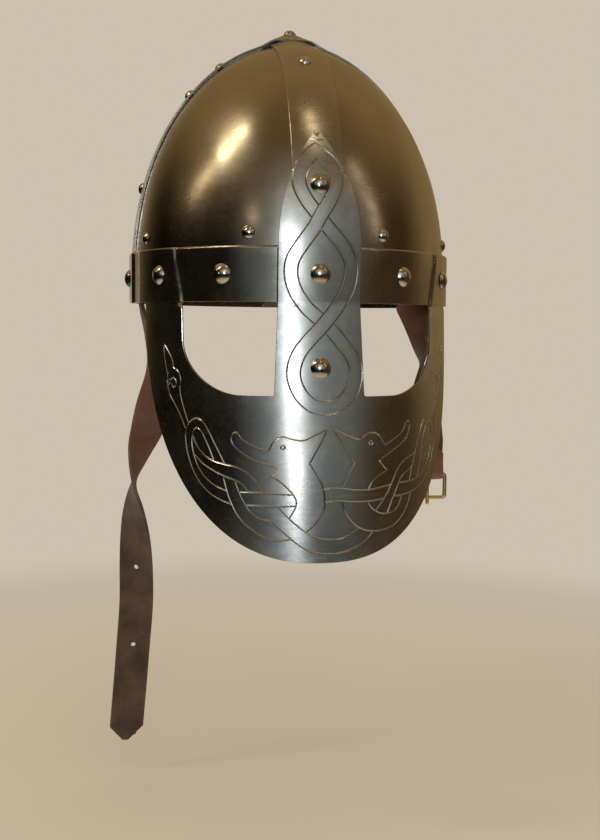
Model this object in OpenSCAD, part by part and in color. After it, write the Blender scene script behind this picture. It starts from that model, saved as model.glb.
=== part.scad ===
// Banded iron helmet with a full face plate, in the Viking-age fashion.
// Four dome plates are riveted under a crest band, a side band and a brow band.
// The face plate's arms sit under the brow band and its nasal runs up over it.
// Origin: centre of the head opening, in the plane of the rim.
// +Z is up, the face looks along -Y, and the wearer's left is +X.

/* [Dome] */
// Width of the dome over its plates, ear to ear
dome_w = 192; // [182:1:204]
// Length of the dome over its plates, brow to nape
dome_l = 220; // [208:1:234]
// Height of the dome's round above the rim
dome_h = 157; // [145:1:170]
// Height of the flat-topped point on the crown, above the round
point_h = 6; // [3:0.5:9]
// Height of the upright part of the dome wall above the rim
rim_wall = 20; // [14:1:26]
// Thickness of the sheet steel
sheet_t = 1.2; // [0.9:0.1:1.5]
// Gap between neighbouring dome plates, hidden under the bands
plate_gap = 1; // [0.6:0.1:2]

/* [Bands] */
// Height of the brow band
brow_h = 30; // [26:1:33]
// Width of the crest band, which runs from brow to nape
crest_w = 28; // [22:1:36]
// Width of the side band, which runs from ear to ear over the crest band
side_w = 30; // [24:1:34]
// Length of the sloping step where the brow band rises over what lies under it
joggle_w = 1.5; // [1:0.1:2.5]

/* [Face plate] */
// Distance of the face plate's rear edges in from the dome's sides
face_inset = 6; // [4:0.5:10]
// Width of each of the face plate's two arms, at the rim
arm_w = 19; // [14:0.5:24]
// Depth of the face plate below the rim, at the chin
face_drop = 138; // [120:1:150]
// Squareness of the face plate's jaw line, 2 being an ellipse
jaw_power = 2.4; // [2:0.1:3]
// Forward lean of the face plate, in degrees
face_lean = 6; // [3:0.5:8]
// Depth of the eye openings below the rim
eye_drop = 50; // [40:1:56]
// Radius of each eye opening's lower outer corner
eye_r = 30; // [20:1:34]
// Width of the nasal at the rim
nasal_w = 45; // [38:1:50]
// Width of the nasal at the foot of the eye openings
nasal_foot_w = 49; // [42:1:56]
// Height of the nasal's point above the rim
nasal_tip_h = 94; // [86:1:104]
// Height of the arms' ends above the rim, under the brow band
arm_h = 19; // [16:1:24]

/* [Rivets] */
// Diameter of the large domed heads on the brow band and the nasal
large_head_d = 11; // [9:0.5:12]
// Height of the large heads
large_head_h = 3; // [2:0.1:3.6]
// Diameter of the small domed heads on the dome
small_head_d = 7.5; // [6:0.5:9]
// Height of the small heads
small_head_h = 2.2; // [1.5:0.1:3]
// Diameter of every rivet's shank
shank_d = 4; // [3:0.1:4.6]
// Height of the brow rivets above the rim
brow_rivet_z = 15; // [13:0.5:17]
// Height of the plate rivets above the rim
plate_rivet_z = 37; // [35:0.5:41]

/* [Liner] */
// Thickness of the leather
leather_t = 2.2; // [1.6:0.1:2.8]
// Height of the liner's lower edge above the rim
liner_z = 28; // [27:0.5:31]
// Height of the liner's headband
liner_h = 22; // [18:1:28]
// Air space between the liner's crown and the dome
crown_space = 25; // [15:1:35]
// Radius of the ring that the crown lace makes
lace_ring_r = 26; // [22:1:32]
// Diameter of the crown lace
lace_d = 2.6; // [2:0.1:3]

/* [Straps] */
// Width of both chin straps
strap_w = 21; // [18:0.5:23]
// Length of the long strap below its rivet
long_strap_l = 293; // [270:1:320]
// Distance between the long strap's holes
hole_pitch = 25; // [20:1:30]
// Diameter of the long strap's holes
strap_hole_d = 3; // [2.6:0.1:4]
// Length of the short strap, from its rivet to the buckle's bar
short_strap_l = 124; // [116:1:132]

/* [Buckle] */
// Diameter of the buckle frame's wire
wire_d = 2.5; // [2:0.1:3]
// Distance between the buckle's bar and the far side, centre to centre
buckle_h = 15.5; // [14:0.5:20]
// Diameter of the prong
prong_d = 2.2; // [1.8:0.1:2.6]

/* [Hidden] */

$fn = 96;
// Clearance left between two sheets that are riveted together
lap_gap = 0.1;
// Clearance under a rivet's head, and in the bores of the hinged pieces
seat_gap = 0.05;
// Clearance of a shank in a sheet's hole
hole_gap = 0.1;
// Clearance between flat leather and what clamps it
leather_gap = 0.3;
// Half axes of the dome's outer surface
half_w = dome_w / 2;
half_l = dome_l / 2;
crown_r = dome_h - rim_wall;
// Width of the face plate at the rim, and across both eye openings
face_w = dome_w - 2 * face_inset;
eye_span = face_w - 2 * arm_w;
// Larger than the helmet, for cutting blocks
far = 400;

// Distances of sheet layer k from the outside of the dome plates
function lay_in(k) = lap_gap + (k - 1) * (sheet_t + lap_gap);
function lay_out(k) = lay_in(k) + sheet_t;

// A point and the outward direction on the dome's surface moved out by o.
// turn is 0 at the brow, 90 at the wearer's left and 180 at the nape.
function shrink(z, low, high) = z <= low ? 1 : sqrt(1 - pow((z - low) / high, 2));
function dome_point(o, turn, z) =
  let (k = shrink(z, rim_wall, crown_r + o))
  [(half_w + o) * k * sin(turn), -(half_l + o) * k * cos(turn), z];
function unit(v) = v / norm(v);
function dome_out(o, turn, z) =
  let (p = dome_point(o, turn, z))
  unit([p.x / pow(half_w + o, 2), p.y / pow(half_l + o, 2),
    z <= rim_wall ? 0 : (z - rim_wall) / pow(crown_r + o, 2)]);

// Sets its children on point p, with their +Z along direction n
module set_on(p, n) {
  translate(p) rotate([0, acos(n.z), atan2(n.y, n.x)]) children();
}

// The point on the crown, as shares of the dome's axes: the radii of its foot and of its
// flat top, under the apex rivet, and the height of the top
point_foot = 0.25;
point_top = 5.3 / half_w;
point_share = 1 + point_h / crown_r;

module crown_point() {
  foot_z = sqrt(1 - pow(point_foot, 2));
  slope = (point_share - foot_z) / (point_foot - point_top);
  sunk = 0.1;
  translate([0, 0, foot_z - sunk * slope])
    cylinder(r1 = point_foot + sunk, r2 = point_top, h = point_share - foot_z + sunk * slope);
}

// Solid dome with half axes w and l at its straight foot, and height high above it.
// The foot reaches from height low down to height base. The surface closes on itself
// along a line at the angle seam, which is kept away from rivet holes.
module dome_solid(w, l, high, low = rim_wall, base = 0, seam = 45, pointed = false) {
  foot = (low - base) / high;
  translate([0, 0, low]) scale([w, l, high]) rotate(seam) difference() {
    union() {
      sphere(1);
      translate([0, 0, -foot]) cylinder(r = 1, h = foot);
      if (pointed) crown_point();
    }
    translate([-2, -2, -foot - 4]) cube(4);
  }
}

// Layer of the dome between the offsets i and o from the plates' outside
module dome_layer(i, o, seam = 45, pointed = true) {
  difference() {
    dome_solid(half_w + o, half_l + o, crown_r + o, seam = seam, pointed = pointed);
    dome_solid(half_w + i, half_l + i, crown_r + i, base = -5, seam = seam, pointed = pointed);
  }
}

// Domed rivet, head up, its seat at z = 0 and the inner seat at z = -grip.
// Its hammered tail is so many times as wide as the shank.
module rivet(head_d, head_h, grip, tail = 1.75, shank = shank_d) {
  ball_r = (pow(head_d / 2, 2) + pow(head_h, 2)) / (2 * head_h);
  tail_d = tail * shank;
  tail_h = 0.3 * shank;
  translate([0, 0, seat_gap]) intersection() {
    translate([0, 0, head_h - ball_r]) sphere(ball_r, $fn = 64);
    cylinder(d = head_d + 2, h = head_h + 1, $fn = 48);
  }
  translate([0, 0, -grip - tail_h]) cylinder(d = shank, h = grip + tail_h + seat_gap, $fn = 32);
  translate([0, 0, -grip - tail_h]) cylinder(d1 = tail_d - 2 * tail_h * 0.6, d2 = tail_d, h = tail_h, $fn = 32);
}

module shank_hole(length = 30) {
  cylinder(d = shank_d + 2 * hole_gap, h = length, center = true, $fn = 32);
}

// Sets its children on the dome plates, pointing out, at a turn and a height
module dome_place(turn, z) set_on(dome_point(0, turn, z), dome_out(0, turn, z)) children();

// Rivet places. The brow band has twelve: nasal, nape, both ears and eight between.
brow_turns = [31.5, 57.5, 122.5, 148.5];
arm_turn = 57.5;
plate_turns = [23, 70, 110, 157];
// The lowest rivets over the crest band clear the liner's headband
low_rivet_z = liner_z + liner_h + 13;
high_rivet_z = rim_wall + 0.854 * crown_r;
crest_spots = [[0, high_rivet_z], [180, high_rivet_z], [180, (high_rivet_z + low_rivet_z) / 2],
  [180, low_rivet_z]];
nasal_low_z = -0.7 * eye_drop;
// Heights of the three rivets on each half of the side band
side_rivet_z = [for (k = [0.365, 0.785, 0.912]) rim_wall + k * crown_r];
// Extra depth for a flat seat on the dome's hollow side
hollow = 0.15;

module brow_holes() {
  for (turn = concat([0, 90, 180, 270], brow_turns, -brow_turns))
    dome_place(turn, brow_rivet_z) shank_hole();
}

module plate_holes() {
  for (turn = concat(plate_turns, -plate_turns)) dome_place(turn, plate_rivet_z) shank_hole(16);
}

module crest_holes() {
  for (spot = crest_spots) dome_place(spot[0], spot[1]) shank_hole();
  nasal_top_place() shank_hole();
  cylinder(d = shank_d + 2 * hole_gap, h = far, $fn = 32);
}

// The side band lies on the plates at the ears and over the crest band at the crown
side_in = [half_w + lay_in(1), half_l + lay_in(1), crown_r + lay_in(2)];
side_out = side_in + sheet_t * [1, 1, 1];
function side_share(z) = pow((z - rim_wall) / side_out.z, 2);
function side_point(z, s) = [s * side_out.x * sqrt(1 - side_share(z)), 0, z];
function side_normal(z, s) =
  let (p = side_point(z, s))
  unit([p.x / pow(side_out.x, 2), 0, (z - rim_wall) / pow(side_out.z, 2)]);

module side_holes() {
  for (z = side_rivet_z, s = [-1, 1]) set_on(side_point(z, s), side_normal(z, s)) shank_hole(20);
}

// One quarter of the dome. sx and sy are the signs of its side of X and Y.
module dome_plate(sx, sy) {
  color("darkgray") difference() {
    intersection() {
      dome_layer(-sheet_t, 0, seam = atan2(-sy, -sx));
      translate([sx > 0 ? plate_gap / 2 : -far - plate_gap / 2,
        sy > 0 ? plate_gap / 2 : -far - plate_gap / 2, 0]) cube(far);
    }
    brow_holes();
    plate_holes();
    crest_holes();
    side_holes();
  }
}

module front_left_plate() dome_plate(1, -1);
module front_right_plate() dome_plate(-1, -1);
module rear_left_plate() dome_plate(1, 1);
module rear_right_plate() dome_plate(-1, 1);

// The two crossing bands end just above the rim, behind the brow band
band_foot = 1;

module crest_band() {
  color("silver") difference() {
    intersection() {
      dome_layer(lay_in(1), lay_out(1));
      translate([-crest_w / 2, -far / 2, band_foot]) cube([crest_w, far, far]);
    }
    brow_holes();
    crest_holes();
  }
}

module side_band() {
  color("silver") difference() {
    intersection() {
      difference() {
        dome_solid(side_out.x, side_out.y, side_out.z, pointed = true);
        dome_solid(side_in.x, side_in.y, side_in.z, base = -5, pointed = true);
      }
      translate([-far / 2, -side_w / 2, band_foot]) cube([far, side_w, far]);
    }
    brow_holes();
    side_holes();
    cylinder(d = shank_d + 2 * hole_gap, h = far, $fn = 32);
  }
}

// Brow band: a hoop on the plates, stepped out over the bands and the arms
arm_front_x = eye_span / 2;
arm_rear_x = face_w / 2;
cover = 2;

module oval(o) scale([half_w + o, half_l + o]) circle(1);

module raised_parts(more) {
  front_w = nasal_w + 2 * cover + 2 * more;
  rear_w = crest_w + 2 * cover + 2 * more;
  ear_w = side_w + 2 * cover + 2 * more;
  covered_w = arm_w + 2 * cover + 2 * more;
  translate([-front_w / 2, -far / 2]) square([front_w, far / 2]);
  translate([-rear_w / 2, 0]) square([rear_w, far / 2]);
  translate([-far / 2, -ear_w / 2]) square([far, ear_w]);
  for (s = [-1, 1]) scale([s, 1])
    translate([arm_front_x - cover - more, -far / 2]) square([covered_w, far / 2 - ear_w / 2]);
}

module brow_band() {
  color("silver") difference() {
    linear_extrude(brow_h) difference() {
      union() {
        oval(lay_out(1));
        intersection() { oval(lay_out(2)); raised_parts(joggle_w); }
      }
      oval(lay_in(1));
      intersection() { oval(lay_in(2)); raised_parts(0); }
    }
    brow_holes();
  }
}

// Face plate, drawn from the front: the jaw, the eye openings and the nasal.
// Its curved sheet leans forward below the rim, and its nasal bends up over the dome.
face_in = [half_w + lay_in(1), (half_l + lay_in(3) + hollow) * cos(face_lean)];
face_out = [face_in.x + sheet_t, face_in.y + sheet_t * cos(face_lean)];
// The nasal clears the brow band and meets the crest band at its tip
nasal_in_l = half_l + lay_in(3);
nasal_tip_y = (half_l + lay_out(1)) * shrink(nasal_tip_h, rim_wall, crown_r + lay_out(1)) + lap_gap;
nasal_rise = (nasal_tip_h - brow_h) / sqrt(1 - pow(nasal_tip_y / nasal_in_l, 2));

module jaw_outline() {
  steps = 45;
  polygon(concat([[-face_w / 2, 0], [face_w / 2, 0]],
    [for (i = [1:steps - 1])
      let (q = 180 * i / steps)
      [sign(cos(q)) * face_w / 2 * pow(abs(cos(q)), 2 / jaw_power),
        -face_drop * pow(sin(q), 2 / jaw_power)]]));
}

module eye_outline() {
  corner = [eye_span / 2 - eye_r, eye_r - eye_drop];
  difference() {
    polygon([[nasal_w / 2, 5], [nasal_w / 2, 0], [nasal_foot_w / 2, -eye_drop],
      [eye_span / 2, -eye_drop], [eye_span / 2, 5]]);
    difference() {
      translate([corner.x, -eye_drop - 1]) square([eye_r + 1, eye_r + 1]);
      translate(corner) circle(eye_r);
    }
  }
}

// The nasal's leaf point is the overlap of two circles
module nasal_outline(foot) {
  spring_z = nasal_tip_h / 3;
  leaf_r = (pow(nasal_w / 2, 2) + pow(nasal_tip_h - spring_z, 2)) / nasal_w;
  intersection() {
    translate([nasal_w / 2 - leaf_r, spring_z]) circle(leaf_r);
    translate([leaf_r - nasal_w / 2, spring_z]) circle(leaf_r);
    translate([-nasal_w, spring_z]) square([2 * nasal_w, far]);
  }
  translate([-nasal_w / 2, -foot]) square([nasal_w, foot + spring_z + 0.01]);
}

module arm_outline(foot) {
  for (s = [-1, 1]) scale([s, 1])
    polygon([[arm_front_x + 0.3, -foot], [arm_rear_x - 0.5, -foot], [arm_rear_x - 1, arm_h],
      [arm_front_x + 3.5, arm_h]]);
}

module to_front() rotate([90, 0, 0]) linear_extrude(far / 2) children();

module face_sheet() {
  rotate([-face_lean, 0, 0]) difference() {
    translate([0, 0, -far / 2]) scale([face_out.x, face_out.y, 1]) cylinder(r = 1, h = far);
    translate([0, 0, -far / 2 - 1]) scale([face_in.x, face_in.y, 1]) cylinder(r = 1, h = far + 2);
  }
}

module oval_tube(i, o, low, high) {
  translate([0, 0, low]) linear_extrude(high - low) difference() {
    oval(o);
    oval(i);
  }
}

module face_plate() {
  lap = 4;
  color("lightsteelblue") difference() {
    union() {
      intersection() {
        face_sheet();
        to_front() difference() {
          jaw_outline();
          for (s = [-1, 1]) scale([s, 1]) eye_outline();
        }
        translate([-far / 2, -far / 2, -far - lap_gap]) cube(far);
      }
      intersection() {
        difference() {
          dome_solid(half_w + lay_out(3), nasal_in_l + sheet_t, nasal_rise + sheet_t, brow_h, -lap);
          dome_solid(half_w + lay_in(3), nasal_in_l, nasal_rise, brow_h, -lap - 5);
        }
        to_front() nasal_outline(lap);
      }
      intersection() {
        union() {
          oval_tube(lay_in(1), lay_out(1), -lap, arm_h);
          oval_tube(lay_in(1) + lap_gap, lay_out(1) + 2.5 * lap_gap, -lap, -2 * lap_gap);
        }
        to_front() arm_outline(lap);
      }
    }
    brow_holes();
    crest_holes();
    lower_nasal_place() shank_hole();
  }
}

// The lowest nasal rivet stands square to the leaning sheet, between the eye openings
module lower_nasal_place() {
  y = -face_out.y / cos(face_lean) + nasal_low_z * tan(face_lean);
  set_on([0, y, nasal_low_z], [0, -cos(face_lean), sin(face_lean)]) children();
}

// The nasal's top rivet stands square to the nasal, and goes on through what is under it
module nasal_top_place() {
  out_l = nasal_in_l + sheet_t;
  out_rise = nasal_rise + sheet_t;
  y = -out_l * shrink(low_rivet_z, brow_h, out_rise);
  set_on([0, y, low_rivet_z], unit([0, y / pow(out_l, 2), (low_rivet_z - brow_h) / pow(out_rise, 2)]))
    children();
}

// Rivets on the brow band, without those of the nasal and the straps
module brow_rivets() {
  color("gainsboro") {
    for (turn = concat(brow_turns, -brow_turns, [180])) {
      over = abs(turn) == arm_turn || turn == 180 ? lay_out(2) : lay_out(1);
      dome_place(turn, brow_rivet_z) translate([0, 0, over])
        rivet(large_head_d, large_head_h, over + sheet_t + hollow);
    }
  }
}

// Rivets just above the brow band, which also carry the liner
washer_d = 9;
washer_t = 0.8;
liner_out = -sheet_t - leather_gap - lap_gap;
liner_in = liner_out - leather_t;

module washer() {
  difference() {
    cylinder(d = washer_d, h = washer_t, $fn = 48);
    translate([0, 0, -1]) cylinder(d = shank_d + 2 * hole_gap, h = washer_t + 2, $fn = 32);
  }
}

module plate_rivets() {
  grip = hollow - liner_in + washer_t + seat_gap;
  color("gainsboro") for (turn = concat(plate_turns, -plate_turns))
    dome_place(turn, plate_rivet_z) rivet(small_head_d, small_head_h, grip, 1.5);
}

module liner_washers() {
  color("tan") for (turn = concat(plate_turns, -plate_turns))
    dome_place(turn, plate_rivet_z) translate([0, 0, liner_in - hollow - washer_t]) washer();
}

module crest_rivets() {
  over = lay_out(1);
  color("gainsboro") for (spot = crest_spots)
    dome_place(spot[0], spot[1]) translate([0, 0, over])
      rivet(small_head_d, small_head_h, over + sheet_t + hollow, 1.5);
}

module side_rivets() {
  color("gainsboro") for (z = side_rivet_z, s = [-1, 1]) {
    over = lay_out(1) + (lay_out(2) - lay_out(1)) * side_share(z);
    set_on(side_point(z, s), side_normal(z, s))
      rivet(small_head_d, small_head_h, over + sheet_t + hollow, 1.5);
  }
}

module apex_rivet() {
  color("gainsboro") translate([0, 0, rim_wall + side_out.z * point_share])
    rivet(small_head_d + 1, small_head_h, (side_out.z - crown_r + sheet_t) * point_share + hollow, 1.5);
}

// Three rivets down the nasal: over the crest band, on the brow band, between the eyes
module nasal_rivets() {
  top_y = (nasal_in_l + sheet_t) * shrink(low_rivet_z, brow_h, nasal_rise + sheet_t);
  under_y = dome_point(-sheet_t, 180, low_rivet_z).y;
  color("gainsboro") {
    nasal_top_place() rivet(large_head_d, large_head_h, top_y - under_y + 2 * hollow);
    dome_place(0, brow_rivet_z) translate([0, 0, lay_out(3)])
      rivet(large_head_d, large_head_h, lay_out(3) + sheet_t + hollow);
    lower_nasal_place() rivet(large_head_d, large_head_h, sheet_t + hollow);
  }
}

// Leather liner: a headband with eight tongues, drawn together at the crown by a lace.
// Each tongue's tip is folded over the lace and stitched down.
liner_crown = dome_h - sheet_t - crown_space - rim_wall;
tip_r = lace_ring_r + 2.2;
lace_z = rim_wall + (liner_crown - leather_t / 2)
  * sqrt(1 - pow(tip_r / ((half_w + half_l + liner_in + liner_out) / 2), 2));
fold_r = lace_d / 2 + leather_gap + 1.7;
tongue_turns = [for (turn = plate_turns, s = [-1, 1]) atan2(-half_l * cos(turn), s * half_w * sin(turn))];

module tongue_outline() {
  polygon([[tip_r, -7], [half_l, -30], [half_l, 30], [tip_r, 7]]);
}

module liner() {
  color("sienna") difference() {
    union() {
      intersection() {
        dome_layer(liner_in, liner_out, 0, false);
        translate([-far / 2, -far / 2, liner_z]) cube([far, far, liner_h]);
      }
      intersection() {
        difference() {
          dome_solid(half_w + liner_out, half_l + liner_out, liner_crown, seam = 0);
          dome_solid(half_w + liner_in, half_l + liner_in, liner_crown - leather_t, base = -5, seam = 0);
        }
        translate([0, 0, liner_z + liner_h - 6]) linear_extrude(far)
          for (way = tongue_turns) rotate(way) tongue_outline();
      }
      for (way = tongue_turns) translate([0, 0, lace_z]) rotate(way - 13)
        rotate_extrude(angle = 26) translate([lace_ring_r, 0]) circle(fold_r, $fn = 32);
    }
    plate_holes();
    translate([0, 0, lace_z]) rotate_extrude()
      translate([lace_ring_r, 0]) circle(lace_d / 2 + leather_gap, $fn = 32);
  }
}

module crown_lace() {
  knot_r = 2.7;
  tail_l = 24;
  color("peru") translate([0, 0, lace_z]) {
    rotate_extrude() translate([lace_ring_r, 0]) circle(d = lace_d, $fn = 24);
    translate([0, lace_ring_r, 0]) {
      sphere(knot_r, $fn = 32);
      for (s = [-1, 1]) rotate([0, 180 + 9 * s, 0]) cylinder(d = lace_d, h = tail_l, $fn = 24);
    }
  }
}

// The straps hang from the ear rivets, flat inside the dome wall
strap_face_x = half_w - sheet_t - 1;
strap_mid_x = strap_face_x - leather_t / 2;
strap_end_r = strap_w / 2;
tab_foot = 7;
washer_x = strap_face_x - leather_t - leather_gap;

module strap_rivets() {
  color("gainsboro") for (s = [-1, 1])
    set_on([s * (half_w + lay_out(2)), 0, brow_rivet_z], [s, 0, 0])
      rivet(large_head_d, large_head_h, half_w + lay_out(2) - washer_x + washer_t + seat_gap, 1.5);
}

module strap_washers() {
  color("tan") for (s = [-1, 1]) set_on([s * washer_x, 0, brow_rivet_z], [s, 0, 0])
    translate([0, 0, -washer_t]) washer();
}

// Upper end of a strap: flat, round-ended, with the hole that turns on the rivet
module strap_tab() {
  translate([strap_mid_x, 0, brow_rivet_z]) rotate([0, 90, 0]) difference() {
    union() {
      cylinder(r = strap_end_r, h = leather_t, center = true);
      translate([0, -strap_end_r, -leather_t / 2]) cube([tab_foot + 1, strap_w, leather_t]);
    }
    cylinder(d = shank_d + 2 * seat_gap, h = leather_t + 2, center = true, $fn = 32);
  }
}

// A strap's path: [drop below the rivet, inward shift, turn of its face, width share].
// At turn 0 the strap lies along the dome wall, and at 90 it faces forward.
long_path = [[7, 0, 0, 1], [20, 2, 2, 1], [34, 5.5, 6, 1], [48, 8, 12, 1], [60, 8.5, 24, 1],
  [75, 8, 56, 1], [90, 6, 90, 1], [108, 1, 138, 1], [128, -3, 180, 1], [145, -3, 212, 1],
  [165, -2.3, 238, 1], [185, -1.9, 256, 1], [205, -2, 266, 1], [230, -3.8, 270, 1],
  [258, -6, 272, 1], [284, -8.2, 273, 1]];
short_path = [[7, 0, 0, 1], [12, 3.5, 20, 1], [16, 6.8, 42, 1], [21, 8.6, 68, 1], [27, 8.9, 96, 1],
  [36, 7.4, 132, 1], [47, 5.4, 178, 1], [60, 3.4, 222, 1], [73, 1.7, 252, 1], [87, 0, 267, 1],
  [99, -1.2, 270, 1], [108, -1.5, 270, 1]];

// Smooth curve through a list of points, with n steps between neighbours
function between(p, q, r, s, u) =
  0.5 * (2 * q + (r - p) * u + (2 * p - 5 * q + 4 * r - s) * u * u
    + (3 * q - p - 3 * r + s) * u * u * u);
function smooth(path, n) =
  let (last = len(path) - 1)
  concat([for (i = [0:last - 1], j = [0:n - 1])
    between(path[max(i - 1, 0)], path[i], path[i + 1], path[min(i + 2, last)], j / n)],
    [path[last]]);

// One ring of four corners across the strap
function strap_ring(p, w) =
  let (across = [sin(p[2]), cos(p[2]), 0] * w * p[3] / 2,
    thick = [cos(p[2]), -sin(p[2]), 0] * leather_t / 2,
    mid = [strap_mid_x - p[1], 0, brow_rivet_z - p[0]])
  [mid + across + thick, mid - across + thick, mid - across - thick, mid + across - thick];

// Closed ribbon swept through the rings
module ribbon(path, w) {
  rings = [for (p = path) strap_ring(p, w)];
  last = len(rings) - 1;
  polyhedron(
    points = [for (ring = rings, p = ring) p],
    faces = concat([[0, 1, 2], [0, 2, 3]],
      [for (i = [0:last - 1], j = [0:3])
        let (k = (j + 1) % 4, m = 4 * i)
        each [[m + j, m + 4 + j, m + k], [m + k, m + 4 + j, m + 4 + k]]],
      [let (m = 4 * last) each [[m, m + 2, m + 1], [m, m + 3, m + 2]]]));
}

// Long strap, on the wearer's right, with holes for the buckle's prong and a pointed end
point_l = 9;
hole_count = 4;
path_stretch = (long_strap_l - point_l) / long_path[len(long_path) - 1][0];
function stretched(path, k) = [for (p = path) [7 + (p[0] - 7) * k, p[1], p[2], p[3]]];
long_curve = smooth(stretched(long_path, path_stretch), 5);
function strap_at(drop) =
  [for (i = [1:2]) lookup(drop, [for (p = long_curve) [p[0], p[i]]])];

module long_strap() {
  end = long_curve[len(long_curve) - 1];
  tip = [long_strap_l, end[1] - 0.6, end[2], 0.12];
  last_hole = long_strap_l - point_l - strap_w * 4 / 3;
  color("rosybrown") mirror([1, 0, 0]) {
    strap_tab();
    difference() {
      ribbon(concat(long_curve, [tip]), strap_w);
      for (i = [0:hole_count - 1]) {
        drop = last_hole - i * hole_pitch;
        at = strap_at(drop);
        translate([strap_mid_x - at[0], 0, brow_rivet_z - drop])
          rotate([0, 90, -at[1]]) cylinder(d = strap_hole_d, h = 12, center = true, $fn = 24);
      }
    }
  }
}

// Short strap, on the wearer's left: its end is folded round the buckle's bar
bar_z = brow_rivet_z - short_strap_l;
buckle_x = strap_mid_x + 1.5;
fold_out_r = wire_d / 2 + seat_gap + leather_t;
fold_top_z = bar_z + 16;
slot_w = prong_d + 1;
fold_rivet_z = bar_z + 10.5;
short_stretch = (short_strap_l - 14) / (short_path[len(short_path) - 1][0]);

module buckle_strap() {
  color("rosybrown") {
    strap_tab();
    difference() {
      union() {
        ribbon(smooth(stretched(short_path, short_stretch), 4), strap_w);
        translate([buckle_x - strap_w / 2, -leather_t, bar_z]) cube([strap_w, 2 * leather_t, fold_top_z - bar_z]);
        translate([buckle_x - strap_w / 2, 0, bar_z]) rotate([0, 90, 0]) cylinder(r = fold_out_r, h = strap_w);
      }
      translate([buckle_x - strap_w, 0, bar_z]) rotate([0, 90, 0])
        cylinder(d = wire_d + 2 * seat_gap, h = 2 * strap_w, $fn = 48);
      translate([buckle_x - slot_w / 2, -10, bar_z - 10]) cube([slot_w, 20, 10 + fold_out_r + 1]);
      translate([buckle_x, 0, fold_rivet_z]) rotate([90, 0, 0])
        cylinder(d = fold_shank_d + 2 * hole_gap, h = 20, center = true, $fn = 32);
    }
  }
}

// Small rivet that closes the fold
fold_shank_d = 2.4;

module fold_rivet() {
  color("gold") translate([buckle_x, -leather_t, fold_rivet_z]) rotate([90, 0, 0])
    rivet(6, 1.4, 2 * leather_t + seat_gap, 2, fold_shank_d);
}

// Buckle: a loop of brass wire, whose upper side is the bar.
// The bar is straight past both edges of the strap, and then bends.
side_gap = 0.6;
corner_r = wire_d / 2 + 0.35;
frame_half_w = strap_w / 2 + side_gap + wire_d / 2;

module wire(length) cylinder(d = wire_d, h = length, center = true, $fn = 48);

module buckle_frame() {
  run_x = frame_half_w - corner_r;
  run_z = buckle_h / 2 - corner_r;
  color("goldenrod") translate([buckle_x, 0, bar_z - buckle_h / 2]) {
    for (s = [-1, 1]) {
      translate([0, 0, s * buckle_h / 2]) rotate([0, 90, 0]) wire(2 * run_x);
      translate([s * frame_half_w, 0, 0]) wire(2 * run_z);
    }
    for (sx = [0, 1], sz = [0, 1]) mirror([sx, 0, 0]) mirror([0, 0, sz])
      translate([run_x, 0, run_z]) rotate([90, 0, 0])
        rotate_extrude(angle = 90) translate([corner_r, 0]) circle(d = wire_d, $fn = 48);
  }
}

// Prong: an eye round the bar and a pin that rests on the frame's far side
eye_in_r = wire_d / 2 + seat_gap;
eye_out_r = eye_in_r + 1.1;
eye_w = prong_d + 0.4;
prong_l = buckle_h + wire_d / 2 + 2;

module buckle_prong() {
  start_y = -(eye_in_r + eye_out_r) / 2;
  rest_y = -(wire_d / 2 + prong_d / 2 + 2 * seat_gap);
  tilt = atan2(rest_y - start_y, buckle_h);
  color("goldenrod") translate([buckle_x, 0, bar_z]) difference() {
    union() {
      translate([-eye_w / 2, 0, 0]) rotate([0, 90, 0]) cylinder(r = eye_out_r, h = eye_w, $fn = 48);
      translate([0, start_y, 0]) rotate([180 + tilt, 0, 0]) {
        cylinder(d = prong_d, h = prong_l, $fn = 32);
        translate([0, 0, prong_l]) sphere(d = prong_d, $fn = 32);
      }
    }
    translate([-eye_w, 0, 0]) rotate([0, 90, 0]) cylinder(r = eye_in_r, h = 2 * eye_w, $fn = 48);
  }
}

front_left_plate();
front_right_plate();
rear_left_plate();
rear_right_plate();
crest_band();
side_band();
brow_band();
face_plate();
brow_rivets();
plate_rivets();
crest_rivets();
side_rivets();
apex_rivet();
nasal_rivets();
liner();
liner_washers();
crown_lace();
strap_rivets();
strap_washers();
long_strap();
buckle_strap();
fold_rivet();
buckle_frame();
buckle_prong();
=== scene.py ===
import math
import bpy
import numpy as np
from mathutils import Matrix, Quaternion, Vector, noise
from mathutils.geometry import delaunay_2d_cdt
from mathutils.kdtree import KDTree


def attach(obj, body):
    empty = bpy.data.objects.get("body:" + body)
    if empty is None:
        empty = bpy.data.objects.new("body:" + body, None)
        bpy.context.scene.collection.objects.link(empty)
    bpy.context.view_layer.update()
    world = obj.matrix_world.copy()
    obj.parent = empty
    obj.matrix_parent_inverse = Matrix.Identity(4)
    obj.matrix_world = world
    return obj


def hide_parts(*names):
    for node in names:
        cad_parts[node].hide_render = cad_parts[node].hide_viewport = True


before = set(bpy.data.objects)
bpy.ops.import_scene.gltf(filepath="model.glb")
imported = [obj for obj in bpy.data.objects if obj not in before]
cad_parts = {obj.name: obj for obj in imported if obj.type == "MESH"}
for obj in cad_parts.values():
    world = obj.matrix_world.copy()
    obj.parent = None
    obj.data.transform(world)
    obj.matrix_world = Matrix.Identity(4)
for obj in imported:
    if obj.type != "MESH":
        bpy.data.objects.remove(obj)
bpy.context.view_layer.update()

# Camera: it stands a little to the wearer's right of the nose and just below the brow, 0.7 m
# away, and is turned a little down, as fitted to the photograph's outline.
lens_place = Vector((-0.1094, -0.6912, -0.0112))
yaw, pitch, roll = math.radians(-9.750), math.radians(-5.040), math.radians(0.690)
ahead = Vector((-math.sin(yaw) * math.cos(pitch), math.cos(yaw) * math.cos(pitch), math.sin(pitch)))
level = Vector((math.cos(yaw), math.sin(yaw), 0))
upward = level.cross(ahead)
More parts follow.
